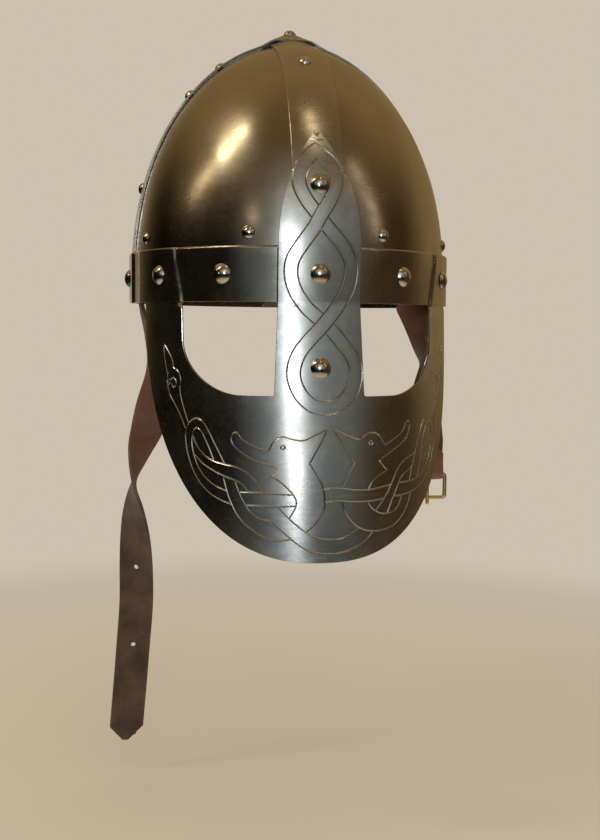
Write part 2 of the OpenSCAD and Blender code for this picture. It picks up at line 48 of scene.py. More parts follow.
right = level * math.cos(roll) + upward * math.sin(roll)
up = upward * math.cos(roll) - level * math.sin(roll)
lens = bpy.data.cameras.new("camera")
lens.lens = 47.05
lens.sensor_width = 36
lens.clip_start = 0.01
camera = bpy.data.objects.new("camera", lens)
bpy.context.collection.objects.link(camera)
camera.matrix_world = Matrix.Translation(lens_place) @ Matrix((right, up, -ahead)).transposed().to_4x4()
bpy.context.scene.camera = camera
bpy.context.scene.view_settings.view_transform = "Standard"


# Floor and surroundings: a pale floor just under the strap's tip, which fades out into a pale
# backdrop. Metal sees that backdrop straight behind it. The rest of the room that it sees is dim
# and warm, lighter behind and above, so that the polished sheet keeps its contrast.
def node(tree, kind, **values):
    n = tree.nodes.new(kind)
    for k, v in values.items():
        setattr(n, k, v)
    return n


def feed(tree, socket, value):
    """Link an output to a socket, or set a plain value on it"""
    if isinstance(value, bpy.types.NodeSocket):
        tree.links.new(value, socket)
    elif isinstance(value, tuple) and len(value) == 3 and socket.type == "RGBA":
        socket.default_value = value + (1,)
    else:
        socket.default_value = value


def feed_all(tree, n, values):
    """Feed the inputs of a node that a dictionary names"""
    for name, value in values.items():
        feed(tree, n.inputs[name], value)


def maths(tree, operation, a, b=0.0, clamp=False):
    n = node(tree, "ShaderNodeMath", operation=operation, use_clamp=clamp)
    feed_all(tree, n, {0: a, 1: b})
    return n.outputs[0]


def ramp(tree, value, low, high, to_low=0.0, to_high=1.0):
    """A value that eases from to_low to to_high while another goes from low to high"""
    n = node(tree, "ShaderNodeMapRange", interpolation_type="SMOOTHSTEP")
    feed_all(tree, n, {"Value": value, "From Min": low, "From Max": high})
    feed_all(tree, n, {"To Min": to_low, "To Max": to_high})
    return n.outputs["Result"]


def blend_colour(tree, share, a, b, how="MIX"):
    n = node(tree, "ShaderNodeMix", data_type="RGBA", blend_type=how)
    feed_all(tree, n, {0: share, 6: a, 7: b})
    return n.outputs[2]


def empty_tree(owner):
    owner.use_nodes = True
    owner.node_tree.nodes.clear()
    return owner.node_tree


# The room's tones go by direction, each part of which runs from -1 to 1
pale = (0.60, 0.53, 0.43)
world = bpy.data.worlds.new("room")
bpy.context.scene.world = world
t = empty_tree(world)
parts = node(t, "ShaderNodeSeparateXYZ")
feed(t, parts.inputs[0], node(t, "ShaderNodeTexCoord").outputs["Generated"])
to_left, to_back, to_top = (parts.outputs[axis] for axis in "XYZ")
behind = ramp(t, maths(t, "ADD", to_back, maths(t, "MULTIPLY", to_left, 0.4)), 0.30, 0.90)
behind = maths(t, "MULTIPLY", behind, ramp(t, to_top, -0.12, 0.05, 0.15, 1.0))
above = ramp(t, to_top, 0.25, 0.75)
dark = blend_colour(t, ramp(t, to_left, 0.2, 0.8), (0.004, 0.003, 0.002), (0.050, 0.028, 0.010))
walls = blend_colour(t, behind, dark, (0.29, 0.20, 0.085))
walls = blend_colour(t, ramp(t, to_back, 0.86, 0.98), walls, pale)
ceiling = blend_colour(t, ramp(t, to_back, -0.5, 0.3), (0.14, 0.088, 0.032), (0.31, 0.20, 0.080))
room = blend_colour(t, above, walls, ceiling)
cool = maths(t, "MULTIPLY", ramp(t, to_back, -0.50, -0.98), ramp(t, to_top, -0.06, 0.12))
room = blend_colour(t, cool, room, (0.24, 0.27, 0.27), "ADD")
path = node(t, "ShaderNodeLightPath")
room = blend_colour(t, path.outputs["Is Diffuse Ray"], room, (0.80, 0.73, 0.63))
room = blend_colour(t, path.outputs["Is Camera Ray"], room, pale)
back = node(t, "ShaderNodeBackground")
feed(t, back.inputs["Color"], room)
feed(t, node(t, "ShaderNodeOutputWorld").inputs[0], back.outputs[0])

floor_z, floor_r, floor_sides = -0.2995, 1.8, 48
turns = [2 * math.pi * i / floor_sides for i in range(floor_sides)]
verts = [(floor_r * math.cos(a), floor_r * math.sin(a), floor_z) for a in turns]
mesh = bpy.data.meshes.new("floor")
mesh.from_pydata(verts, [], [range(floor_sides)])
floor = bpy.data.objects.new("floor", mesh)
bpy.context.collection.objects.link(floor)
paint = bpy.data.materials.new("floor_pale")
t = empty_tree(paint)
spot = node(t, "ShaderNodeVectorMath", operation="LENGTH")
feed(t, spot.inputs[0], node(t, "ShaderNodeTexCoord").outputs["Object"])
solid = node(t, "ShaderNodeBsdfDiffuse")
feed(t, solid.inputs["Color"], (0.66, 0.60, 0.50))
clear = node(t, "ShaderNodeBsdfTransparent")
mix = node(t, "ShaderNodeMixShader")
feed_all(t, mix, {0: ramp(t, spot.outputs["Value"], 0.34, 0.75), 1: solid.outputs[0], 2: clear.outputs[0]})
feed(t, node(t, "ShaderNodeOutputMaterial").inputs[0], mix.outputs[0])
mesh.materials.append(paint)


# Lights: a tall cool lamp beside the camera with a broad faint one over it, three warm ones on the
# picture's left, a small one overhead, and a narrow one on the right.
def soft_light(name, turn, rise, distance, wide, high, power, colour, slant=0.0):
    """A lamp that faces the helmet, by its direction and slant in degrees, and size in metres"""
    lamp = bpy.data.lights.new(name, "AREA")
    lamp.shape = "RECTANGLE"
    lamp.size, lamp.size_y = wide, high
    lamp.energy = power
    lamp.color = colour
    holder = bpy.data.objects.new(name, lamp)
    bpy.context.collection.objects.link(holder)
    a, e = math.radians(turn), math.radians(rise)
    out = Vector((math.sin(a) * math.cos(e), -math.cos(a) * math.cos(e), math.sin(e)))
    holder.location = out * distance
    holder.rotation_mode = "QUATERNION"
    holder.rotation_quaternion = out.to_track_quat("Z", "Y") @ Quaternion((0, 0, 1), math.radians(slant))


soft_light("front_light", -11, 6.5, 1.6, 0.16, 0.46, 2.6, (0.88, 0.97, 1.0), 20)
soft_light("front_glow", -6, 26, 1.6, 0.80, 0.50, 0.6, (0.97, 1.0, 0.94))
soft_light("left_light", -77, 48, 1.5, 0.07, 0.46, 2.0, (1.0, 0.87, 0.58), -26)
soft_light("left_glow", -90, 31, 1.5, 0.07, 0.45, 0.45, (1.0, 0.78, 0.46), -40)
soft_light("left_spot", -41, 22, 1.5, 0.12, 0.12, 0.12, (1.0, 0.78, 0.50))
soft_light("top_light", 16, 64, 1.5, 0.10, 0.25, 0.35, (1.0, 0.78, 0.46))
soft_light("right_light", 53, 28, 1.5, 0.06, 0.80, 0.4, (1.0, 0.84, 0.58), 24)


# Dome plates: four quarters of sheet steel, raised by hammering over a stake, planished and
# polished, so that they stay faintly wavy. Their edges meet under the crest and side bands.
def new_group(name, inputs, outputs):
    """An empty shader node group, its inputs by name, and the node that takes its outputs"""
    g = bpy.data.node_groups.new(name, "ShaderNodeTree")
    for kind, values in (("INPUT", inputs), ("OUTPUT", outputs)):
        for label, (sort, value) in values.items():
            s = g.interface.new_socket(name=label, in_out=kind, socket_type="NodeSocket" + sort)
            if value is not None:
                s.default_value = value
    return g, node(g, "NodeGroupInput").outputs, node(g, "NodeGroupOutput")


def place_group(tree, group, **values):
    n = node(tree, "ShaderNodeGroup", node_tree=group)
    feed_all(tree, n, {label.replace("_", " "): v for label, v in values.items()})
    return n.outputs


def noise_at(tree, place, scale, detail=3.0, roughness=0.5):
    n = node(tree, "ShaderNodeTexNoise")
    feed_all(tree, n, {"Vector": place, "Scale": scale, "Detail": detail, "Roughness": roughness})
    return n.outputs["Fac"]


def bump(tree, height, depth, below=None):
    n = node(tree, "ShaderNodeBump")
    feed_all(tree, n, {"Height": height, "Distance": depth, "Strength": 1.0})
    if below is not None:
        feed(tree, n.inputs["Normal"], below)
    return n.outputs["Normal"]


def stretched(tree, place, scale, rotation=(0, 0, 0)):
    n = node(tree, "ShaderNodeMapping")
    feed(tree, n.inputs["Vector"], place)
    n.inputs["Rotation"].default_value = rotation
    n.inputs["Scale"].default_value = scale
    return n.outputs[0]


# Hand polish: slow waves left by the hammer, fine crossed scratches and a cloudy film
polish, given, gives = new_group(
    "hand_polish",
    {"Wave Depth": ("Float", 0.0006), "Scratch Depth": ("Float", 0.00001), "Grain": ("Float", 420.0)},
    {"Cloud": ("Float", None), "Scratch": ("Float", None), "Normal": ("Vector", None)})
here = node(polish, "ShaderNodeTexCoord").outputs["Object"]
wave = noise_at(polish, here, 17.0, 1.0)
cloud = noise_at(polish, here, 30.0, 6.0, 0.62)
marks = []
for slant in (0.5, -0.9):
    turned = stretched(polish, here, (0.12, 1.0, 1.0), (slant, slant * 0.6, slant * 1.4))
    marks.append(ramp(polish, noise_at(polish, turned, given["Grain"], 4.0, 0.7), 0.35, 0.75))
scratch = maths(polish, "MULTIPLY", marks[0], marks[1])
polished = bump(polish, scratch, given["Scratch Depth"], bump(polish, wave, given["Wave Depth"]))
feed_all(polish, gives, {"Normal": polished, "Cloud": cloud, "Scratch": scratch})

# Edge wear and hollows: where a form is sharp it is rubbed bright, and where it is hollow it is darkened
wear, given, gives = new_group(
    "edge_wear_and_hollows", {"Reach": ("Float", 0.05)}, {"Rubbed": ("Float", None), "Hollow": ("Float", None)})
sharp = node(wear, "ShaderNodeNewGeometry").outputs["Pointiness"]
patchy = noise_at(wear, node(wear, "ShaderNodeTexCoord").outputs["Object"], 160.0, 3.0)
edge_out = maths(wear, "DIVIDE", maths(wear, "SUBTRACT", sharp, 0.51), given["Reach"], clamp=True)
edge_in = maths(wear, "DIVIDE", maths(wear, "SUBTRACT", 0.49, sharp), given["Reach"], clamp=True)
feed_all(wear, gives, {"Rubbed": maths(wear, "MULTIPLY", edge_out, ramp(wear, patchy, 0.2, 0.7)),
                       "Hollow": maths(wear, "MULTIPLY", edge_in, ramp(wear, patchy, 0.15, 0.6))})


def new_surface(name):
    """A material, its node tree, and the one shader that it shows"""
    m = bpy.data.materials.new(name)
    t = empty_tree(m)
    shader = node(t, "ShaderNodeBsdfPrincipled")
    feed(t, node(t, "ShaderNodeOutputMaterial").inputs[0], shader.outputs[0])
    return m, t, shader


def steel(name, colour, rough, wave_depth, stain=0.35):
    """Polished sheet or rivet steel, a little stained where hands and damp have been"""
    m, t, shader = new_surface(name)
    surface = place_group(t, polish, Wave_Depth=wave_depth)
    worn = place_group(t, wear)
    browned = tuple(c * k for c, k in zip(colour, (0.72, 0.62, 0.48)))
    bright = tuple(min(1.0, c * 1.35) for c in colour)
    dull = maths(t, "MULTIPLY", ramp(t, surface["Cloud"], 0.42, 0.72), stain)
    tone = blend_colour(t, dull, colour, browned)
    tone = blend_colour(t, worn["Rubbed"], tone, bright)
    # Darker brown where the form is hollow
    tone = blend_colour(t, worn["Hollow"], tone, (0.10, 0.07, 0.045))
    fog = ramp(t, surface["Cloud"], 0.3, 0.75, rough - 0.03, rough + 0.07)
    fog = maths(t, "ADD", fog, maths(t, "MULTIPLY", surface["Scratch"], 0.06))
    feed_all(t, shader, {"Metallic": 1.0, "Base Color": tone, "Roughness": fog, "Normal": surface["Normal"]})
    return m


def mesh_piece(name, verts, faces, material, body, normals=None):
    m = bpy.data.meshes.new(name)
    m.from_pydata([tuple(v) for v in verts], [], faces)
    m.validate()
    m.materials.append(material)
    m.polygons.foreach_set("use_smooth", [True] * len(m.polygons))
    if normals is not None and len(normals) == len(m.loops):
        m.normals_split_custom_set([tuple(n) for n in normals])
    o = bpy.data.objects.new(name, m)
    bpy.context.collection.objects.link(o)
    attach(o, body)
    return o


def thicken(piece, thickness, bevel, offset=-1.0, segments=2):
    """Give a single surface its thickness and rounded edges"""
    wall_maker = piece.modifiers.new("thickness", "SOLIDIFY")
    wall_maker.thickness = thickness
    wall_maker.offset = offset
    wall_maker.use_even_offset = True
    edge_maker = piece.modifiers.new("rounded_edges", "BEVEL")
    edge_maker.width = bevel
    edge_maker.segments = segments
    edge_maker.limit_method = "ANGLE"
    edge_maker.angle_limit = math.radians(50)
    edge_maker.harden_normals = True


def grid_faces(rows, columns, closed=False):
    """Faces between rows of points, and from the last row to the first where it is closed"""
    out = []
    for i in range(rows if closed else rows - 1):
        a, b = i * columns, (i + 1) % rows * columns
        out += [(a + j, a + j + 1, b + j + 1, b + j) for j in range(columns - 1)]
    return out


def sheet_strip(name, grid, bevel, material, closed=False):
    """A bent strip of sheet steel whose outer face goes through a grid of points"""
    rows, columns = grid.shape[:2]
    flat = grid.reshape(-1, 3)
    faces = grid_faces(rows, columns, closed)
    a, b, c = (flat[i] for i in faces[len(faces) // 2][:3])
    if np.dot(np.cross(b - a, c - b), a) < 0:
        faces = [f[::-1] for f in faces]
    piece = mesh_piece(name, flat, faces, material, "shell")
    thicken(piece, sheet, bevel, segments=3)
    return piece


# The dome is an ellipsoid on an upright wall, and its point is a blunt cone on the crown
sheet, seam = 0.0012, 0.0005
half_w, half_l, wall, crown = 0.096, 0.110, 0.020, 0.137
point_foot, point_top, point_share = 0.25, 0.0053 / half_w, 1 + 0.006 / crown


def peak(flat, height):
    """How far out the pointed crown reaches, as a share of the round, towards a direction"""
    foot_z = math.sqrt(1 - point_foot ** 2)
    slope = (point_share - foot_z) / (point_foot - point_top)
    cone = (foot_z + slope * point_foot) / (height + slope * flat)
    over = np.minimum(cone, point_share / np.maximum(height, 0.3)) - 1
    soft = 0.5 * (over + np.sqrt(over ** 2 + 0.003 ** 2))
    fade = np.clip((0.36 - flat) / 0.06, 0, 1)
    return 1 + soft * fade * fade * (3 - 2 * fade)


def on_dome(x, y, z, off):
    """Point of the dome, moved out by off, towards a direction given in shares of its axes"""
    k = peak(np.hypot(x, y), z)
    return np.stack([(half_w + off) * x * k, (half_l + off) * y * k, wall + (crown + off) * z * k], -1)


dome_steel = steel("dome_steel", (0.50, 0.45, 0.39), 0.23, 0.0009)
foot_rows = np.linspace(0, wall, 6)[:-1]
rises = np.concatenate([np.linspace(0, 70, 50), np.linspace(71, 88.3, 30)])
shares = np.linspace(0, 1, 41)
quarters = (1, -1, "front_left"), (-1, -1, "front_right"), (1, 1, "rear_left"), (-1, 1, "rear_right")
for sx, sy, name in quarters:
    rows = []
    for rise in np.radians(rises):
        flat = math.cos(rise)
        first = math.asin(seam / (half_w * flat))
        last = math.pi / 2 - math.asin(seam / (half_l * flat))
        turn = first + (last - first) * shares
        height = np.full(len(turn), math.sin(rise))
        rows.append(on_dome(sx * flat * np.sin(turn), sy * flat * np.cos(turn), height, 0))
    for z in foot_rows[::-1]:
        rows.insert(0, np.column_stack([rows[0][:, :2], np.full(len(shares), z)]))
    grid = np.array(rows)
    for p in grid.reshape(-1, 3):
        beat = noise.noise(Vector(p) * 38) * 0.00016 + noise.noise(Vector(p) * 85) * 0.00004
        p[:2] *= 1 + beat / half_w
    plate = sheet_strip(name + "_raised_plate", grid, 0.0003, dome_steel)
    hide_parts(name + "_plate")


# Crest band: a strip of sheet bent over the dome from brow to nape, which covers the joint
# between the left and right plates. Rivets through both hold it down.
lap = 0.0001


def layer(k):
    """How far the outer face of sheet layer k stands out from the plates"""
    return lap + (k - 1) * (sheet + lap) + sheet


band_foot = 0.001


def arch(width, places):
    """Rows of points over the crown, each row across a band, with a straight foot at both ends"""
    across = np.linspace(-width / 2, width / 2, 11)
    rises = np.concatenate([np.linspace(0, 66, 40), np.linspace(68, 112, 61), np.linspace(114, 180, 40)])
    rows = [places(np.radians(r), across) for r in rises]
    for end in (0, -1):
        for z in np.linspace(band_foot, wall, 5)[:-1][::-1]:
            row = rows[end].copy()
            row[:, 2] = z
            rows.insert(0 if end == 0 else len(rows), row)
    return np.array(rows)


def crest_row(rise, across):
    x = across / (half_w + layer(1))
    r = np.sqrt(1 - x ** 2)
    return on_dome(x, -r * math.cos(rise), r * math.sin(rise), layer(1))


band_steel = steel("band_steel", (0.54, 0.50, 0.45), 0.24, 0.0007)
crest = sheet_strip("bent_crest_band", arch(0.028, crest_row), 0.00055, band_steel)
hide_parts("crest_band")


# Side band: a second strip, from ear to ear. It lies over the crest band at the crown, where
# it was beaten down on both sides, and the apex rivet goes through all of them.
step_x, step_w, step_h = 0.012, 0.0045, 0.0009
dip_w, dip_h = 0.006, 0.0007


def side_row(rise, across):
    """One row across the side band, with a step beside the crest band and a dip on its middle"""
    y = across / (half_l + layer(1))
    r = np.sqrt(1 - y ** 2)
    row = on_dome(-r * math.cos(rise), y, r * math.sin(rise), layer(1))
    row[:, 2] += (row[:, 2] - wall) / (crown + layer(1)) * (layer(2) - layer(1))
    high = np.clip(row[:, 2] - 0.1, 0, 0.01)
    step = np.exp(-((np.abs(row[:, 0]) - step_x) / step_w) ** 2) * high * 100
    dip = np.exp(-(row[:, 0] / dip_w) ** 2) * high * 100
    edge = (np.abs(across) / across.max()) ** 2
    row[:, 2] += step_h * step * (0.4 + 0.6 * edge) - dip_h * dip * edge
    return row


side = sheet_strip("bent_side_band", arch(0.030, side_row), 0.0003, band_steel)
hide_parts("side_band")


# Brow band: a hoop of sheet round the foot of the dome. It was dressed down over the bands
# and over the face plate's two arms, and shows a soft ridge at the edge of each.
def eased(value, low, high):
    s = np.clip((value - low) / (high - low), 0, 1)
    return s * s * (3 - 2 * s)


def arm_edge(z):
    """Front edge of the face plate's arm, which slants back as it rises"""
    return 0.0713 + 0.0032 * np.clip(z / 0.019, 0, 1.3)


# Where the band steps down beside what it lies on, by distance from the middle
front_step, nape_step = (0.0208, 0.0224), (0.0152, 0.0174)
ear_step, arm_step = (0.0165, 0.0190), (0.0920, 0.0940)


def raised(x, y, z):
    """1 where the brow band lies on another sheet, and 0 where it lies on the dome plates"""
    ax, ay = np.abs(x), np.abs(y)
    front = (1 - eased(ax, *front_step)) * (y < 0)
    nape = (1 - eased(ax, *nape_step)) * (y > 0)
    ear = 1 - eased(ay, *ear_step)
    arm = eased(ax, arm_edge(z) - 0.0017, arm_edge(z) - 0.0002) * (1 - eased(ax, *arm_step)) * (y < 0)
    return np.maximum.reduce(np.broadcast_arrays(front, nape, ear, arm))


# Its top edge is turned in a little. The columns stand close where it steps up, which is given
# here in degrees from the brow.
brow_h, turned_in, turn_depth, waviness = 0.030, 0.0016, 0.0009, 0.00012
fine = ((8, 14), (43, 55), (66, 84), (96, 103), (168, 174))
turns = [0.0]
while turns[-1] < 180 - 1e-6:
    close = any(a <= turns[-1] < b for a, b in fine)
    turns.append(min(180.0, turns[-1] + (0.2 if close else 1.2)))
turns = np.radians(turns + [-a for a in turns[-2:0:-1]])
top_edge = brow_h - turned_in * np.array([0.7, 0.45, 0.25, 0.1, 0])
heights = np.concatenate([np.linspace(0, brow_h - turned_in, 8), top_edge])
rows = []
for turn in turns:
    x, y = (half_w + layer(1)) * math.sin(turn), -(half_l + layer(1)) * math.cos(turn)
    lift = layer(1) + (layer(2) - layer(1)) * raised(x, y, heights)
    lift -= turn_depth * (1 - np.sqrt(1 - np.clip(1 - (brow_h - heights) / turned_in, 0, 1) ** 2))
    lift += waviness * np.array([noise.noise(Vector((x * 60, y * 60, z * 60))) for z in heights])
    x, y = (half_w + lift) * math.sin(turn), -(half_l + lift) * math.cos(turn)
    rows.append(np.column_stack([x, y, heights]))
brow = sheet_strip("dressed_brow_band", np.array(rows), 0.00055, band_steel, closed=True)
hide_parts("brow_band")


# Face plate: one sheet, cut out with the eye openings and the nasal, rolled to the dome's curve and
# leaned forward. Its ornament of two long-necked beasts and a twist is cut in with a graver.
mask_steel = steel("mask_steel", (0.56, 0.55, 0.53), 0.25, 0.0005, 0.25)
lean = math.tan(math.radians(6))
# Half axes of its outer face in plan: below the rim, and of the nasal on the dome and the arms
plate_x, plate_y = 0.0973, 0.11405
dome_x, dome_y, dome_z, arm_y = 0.0999, 0.1139, 0.11758, 0.1113
arc_angle = np.linspace(0, np.pi / 2, 2001)
arc_x = plate_x * np.sin(arc_angle)
arc_u = np.concatenate([[0], np.cumsum(np.hypot(np.diff(arc_x), np.diff(dome_y * np.cos(arc_angle))))])


def u_from_x(x):
    """Distance along the sheet's curve from its middle"""
    return np.sign(x) * np.interp(np.abs(x), arc_x, arc_u)


def x_from_u(u):
    return np.sign(u) * np.interp(np.abs(u), arc_u, arc_x)


def face_surface(x, z):
    """Y of the plate's outer face at x and z"""
    around = np.sqrt(np.maximum(1 - (x / plate_x) ** 2, 0))
    k = 1 - (np.maximum(z - brow_h, 0) / dome_z) ** 2
    nasal = -dome_y * np.sqrt(np.maximum(k - (x / dome_x) ** 2, 0))
    upper = np.where(np.abs(x) < 0.045, nasal, -arm_y * around)
    s = eased(z, -0.003, 0)
    return (-plate_y * around + z * lean) * (1 - s) + upper * s


def unit(v):
    return v / np.linalg.norm(v, axis=-1, keepdims=True)


def face_normal(x, z):
    e = 2e-5
    nx = (face_surface(x + e, z) - face_surface(x - e, z)) / (2 * e)
    nz = (face_surface(x, z + e) - face_surface(x, z - e)) / (2 * e)
    return unit(np.stack([nx, -np.ones_like(nx), nz], -1))


def spaced(points, step, closed=False):
    """The same line with points a step apart, or less where it turns"""
    points = np.asarray(points, float)
    if closed:
        points = np.vstack([points, points[:1]])
    out = []
    for p, q in zip(points[:-1], points[1:]):
        n = max(1, int(np.ceil(np.linalg.norm(q - p) / step)))
        out += [p + (q - p) * i / n for i in range(n)]
    if not closed:
        out.append(points[-1])
    return np.array(out)


def smooth_line(points, step):
    """A curve through the points, with points about a step apart"""
    p = np.asarray(points, float)
    p = np.vstack([2 * p[0] - p[1], p, 2 * p[-1] - p[-2]])
    out = []
    for i in range(1, len(p) - 2):
        n = max(2, int(np.linalg.norm(p[i + 1] - p[i]) / step))
        for k in range(n):
            u = k / n
            out.append(0.5 * (2 * p[i] + (p[i + 1] - p[i - 1]) * u
                              + (2 * p[i - 1] - 5 * p[i] + 4 * p[i + 1] - p[i + 2]) * u * u
                              + (3 * p[i] - p[i - 1] - 3 * p[i + 1] + p[i + 2]) * u ** 3))
    out.append(p[-2])
    return np.array(out)


def left_of(d):
    """The directions in the plane turned a quarter to the left"""
    return np.stack([-d[:, 1], d[:, 0]], 1)


def side_line(line, off):
    return line + left_of(unit(np.gradient(line, axis=0))) * off


def arc(x, y, r, start, stop, count):
    """Points of an arc about x and y"""
    return [(x + r * math.cos(a), y + r * math.sin(a)) for a in np.linspace(start, stop, count)]


def without(line, other, reach, at, near):
    """Parts of a line that don't lie within reach of another line, tested only near a place"""
    gap = np.array([np.min(np.hypot(*(other - p).T)) for p in line])
    hide = (gap < reach) & (np.hypot(*(line - np.array(at)).T) < near)
    runs = np.split(line, np.flatnonzero(np.diff(hide)) + 1)
    shown = runs[1::2] if hide[0] else runs[::2]
    return [run for run in shown if len(run) > 2]


# Strokes are in millimetres: along the sheet's curve from its middle, and height over the rim.
# The nasal's twist is two ribbons, which pass over and under each other.
twist_a = smooth_line([(-1.5, 81.2), (6.4, 74.3), (9.1, 67.4), (8.7, 62.5), (7, 57.6), (3.6, 51.3),
                       (0.3, 46.3), (-4.1, 38.6), (-9.2, 31.7), (-13.4, 25.5), (-15.3, 21.2),
                       (-15.9, 16.4), (-15.2, 10.8), (-13.2, 5.5), (-10.4, 1), (-6.6, -3.8),
                       (-2.2, -7.6), (2, -11.3), (5.8, -14.6), (9.1, -18.3), (12.4, -22.3),
                       (15.9, -26.4), (18.5, -31), (19.9, -36), (19.7, -40.8), (18.2, -45.5),
                       (15.3, -49.8), (11.6, -53), (7.2, -55.2), (2.2, -56.2)], 0.8)
twist_b = smooth_line([(-1.5, 81.2), (-6.7, 76), (-10.3, 70), (-11.3, 65.5), (-10.9, 61), (-9.2, 56.8),
                       (-6.6, 52.4), (-3, 47.8), (0.6, 43.4), (4.5, 38.6), (8.5, 34.4), (12.4, 29.8),
                       (15.5, 24.4), (17, 18.7), (16.6, 12.8), (14.9, 7), (12, 1.7), (8.6, -3.4),
                       (5.2, -7.8), (2, -11.6), (-1.4, -15.4), (-4.9, -19), (-8.3, -22.9), (-11.3, -27),
                       (-13.3, -31.3), (-14.4, -35.7), (-14.4, -40.1), (-13.1, -44.6), (-10.1, -50),
                       (-4.6, -54.6), (2.2, -56.2)], 0.8)
half_ribbon = 3.6
strokes = []
for own, other, at, inner in ((twist_a, twist_b, (2, -11.5), -1), (twist_b, twist_a, (0.4, 45.5), 1)):
    for side in (-1, 1):
        line = side_line(own, side * half_ribbon)
        if side == inner:
            line = line[line[:, 1] < 76.4]
        strokes += without(line, other, half_ribbon, at, 14)
tip_marks = [[(0.9, 83.9), (-1.3, 85.6), (-4.0, 83.8)], [(-4.6, 87.6), (-0.6, 86.9), (4.0, 87.6)],
             [(-1.3, 91.4), (-0.2, 89.3), (0.9, 91.4)]]
strokes += [spaced(mark, 0.8) for mark in tip_marks]

# Left beast: head, horn, neck, ring, loop and tendril
left_beast = [
    [(3.1, -67.2), (-2.8, -70.2), (-9.5, -73.2), (-15, -72.7), (-20.5, -71.4), (-23.7, -72.6), (-26, -75),
     (-27.9, -78.7)],
    [(-27.9, -78.7), (-32.2, -78.4), (-37.6, -76.3), (-41.7, -74.2), (-43.7, -72.2), (-44.9, -70.4),
     (-46.6, -69.8), (-48.3, -70.9), (-49.1, -73), (-48.4, -75.6), (-45.9, -78.4), (-41.7, -81.4),
     (-36.9, -84), (-31.6, -85.7), (-27, -86.8), (-23.1, -88.9)],
    [(-23.1, -88.9), (-25, -90.6), (-27.1, -92.6)],
    [(-27.1, -92.6), (-24.3, -93.7), (-21.2, -95.7), (-17.6, -99), (-14.8, -102.2), (-13.5, -105.3),
     (-13.8, -108.2), (-15.2, -111), (-16.9, -113.6)],
    [(3.1, -67.2), (1.9, -70.8), (-0.3, -75), (-3.1, -79.8), (-6.2, -85.3)],
    [(-6.2, -85.3), (-4.1, -88.9), (-1.1, -93.8), (0.8, -98), (1.6, -103), (1.7, -108), (0.8, -110.8),
     (-1.8, -114.9), (-4.9, -118.5), (-8.2, -121.3)],
    [(-53.6, -95.5), (-52.5, -99), (-51, -103.7), (-48.9, -108.1), (-46.4, -112.6), (-42.7, -117),
     (-38.4, -120.4), (-33.8, -123.3), (-29.1, -125.3), (-24, -126.2), (-16.9, -125.4)],
    [(-46.7, -96.3), (-45.3, -99.9), (-43.2, -104.3), (-40.8, -108.2), (-38.2, -111.5), (-35, -114.1),
     (-31.3, -115.6), (-27.3, -115.9)],
    [(-74.2, -73.4), (-72.2, -77.2), (-69, -80.9), (-64.4, -84.1), (-59.2, -86.1), (-53.9, -87.1),
     (-48.1, -88), (-43.1, -89.6), (-38.5, -92.3), (-34.4, -96.4), (-30.7, -101.4)],
    [(-72.6, -83.6), (-67.3, -87.6), (-60, -91.1), (-53.2, -93.5), (-46.9, -95.5), (-42.5, -97.6),
     (-38.9, -101.2)],
    [(-49.6, -108.1), (-55.5, -106.5), (-62.5, -103.4), (-69.1, -98.4), (-74.3, -91.8), (-77.9, -84.2),
     (-79.8, -76.6), (-79.7, -71.4), (-77.6, -66.9), (-73.8, -64.2), (-69.8, -63.7), (-66.4, -65.9),
     (-63.1, -70.3), (-59.8, -75.8), (-56.4, -81.2), (-53.3, -86.6)],
    [(-53.2, -101), (-59.3, -98.9), (-65.7, -95), (-70.6, -89.6), (-73.5, -83.9), (-75, -78.3),
     (-74.9, -73.5), (-73.3, -69.8), (-70.7, -68.8), (-68.1, -70.6), (-65.6, -74.4), (-63, -79),
     (-60, -85.4)],
    [(-42.9, -101.3), (-34.3, -101.2), (-24.5, -101.7), (-15.6, -101.9)],
    [(-40, -108.1), (-31, -108.1), (-24.5, -108.2), (-13.8, -107.9)],
]
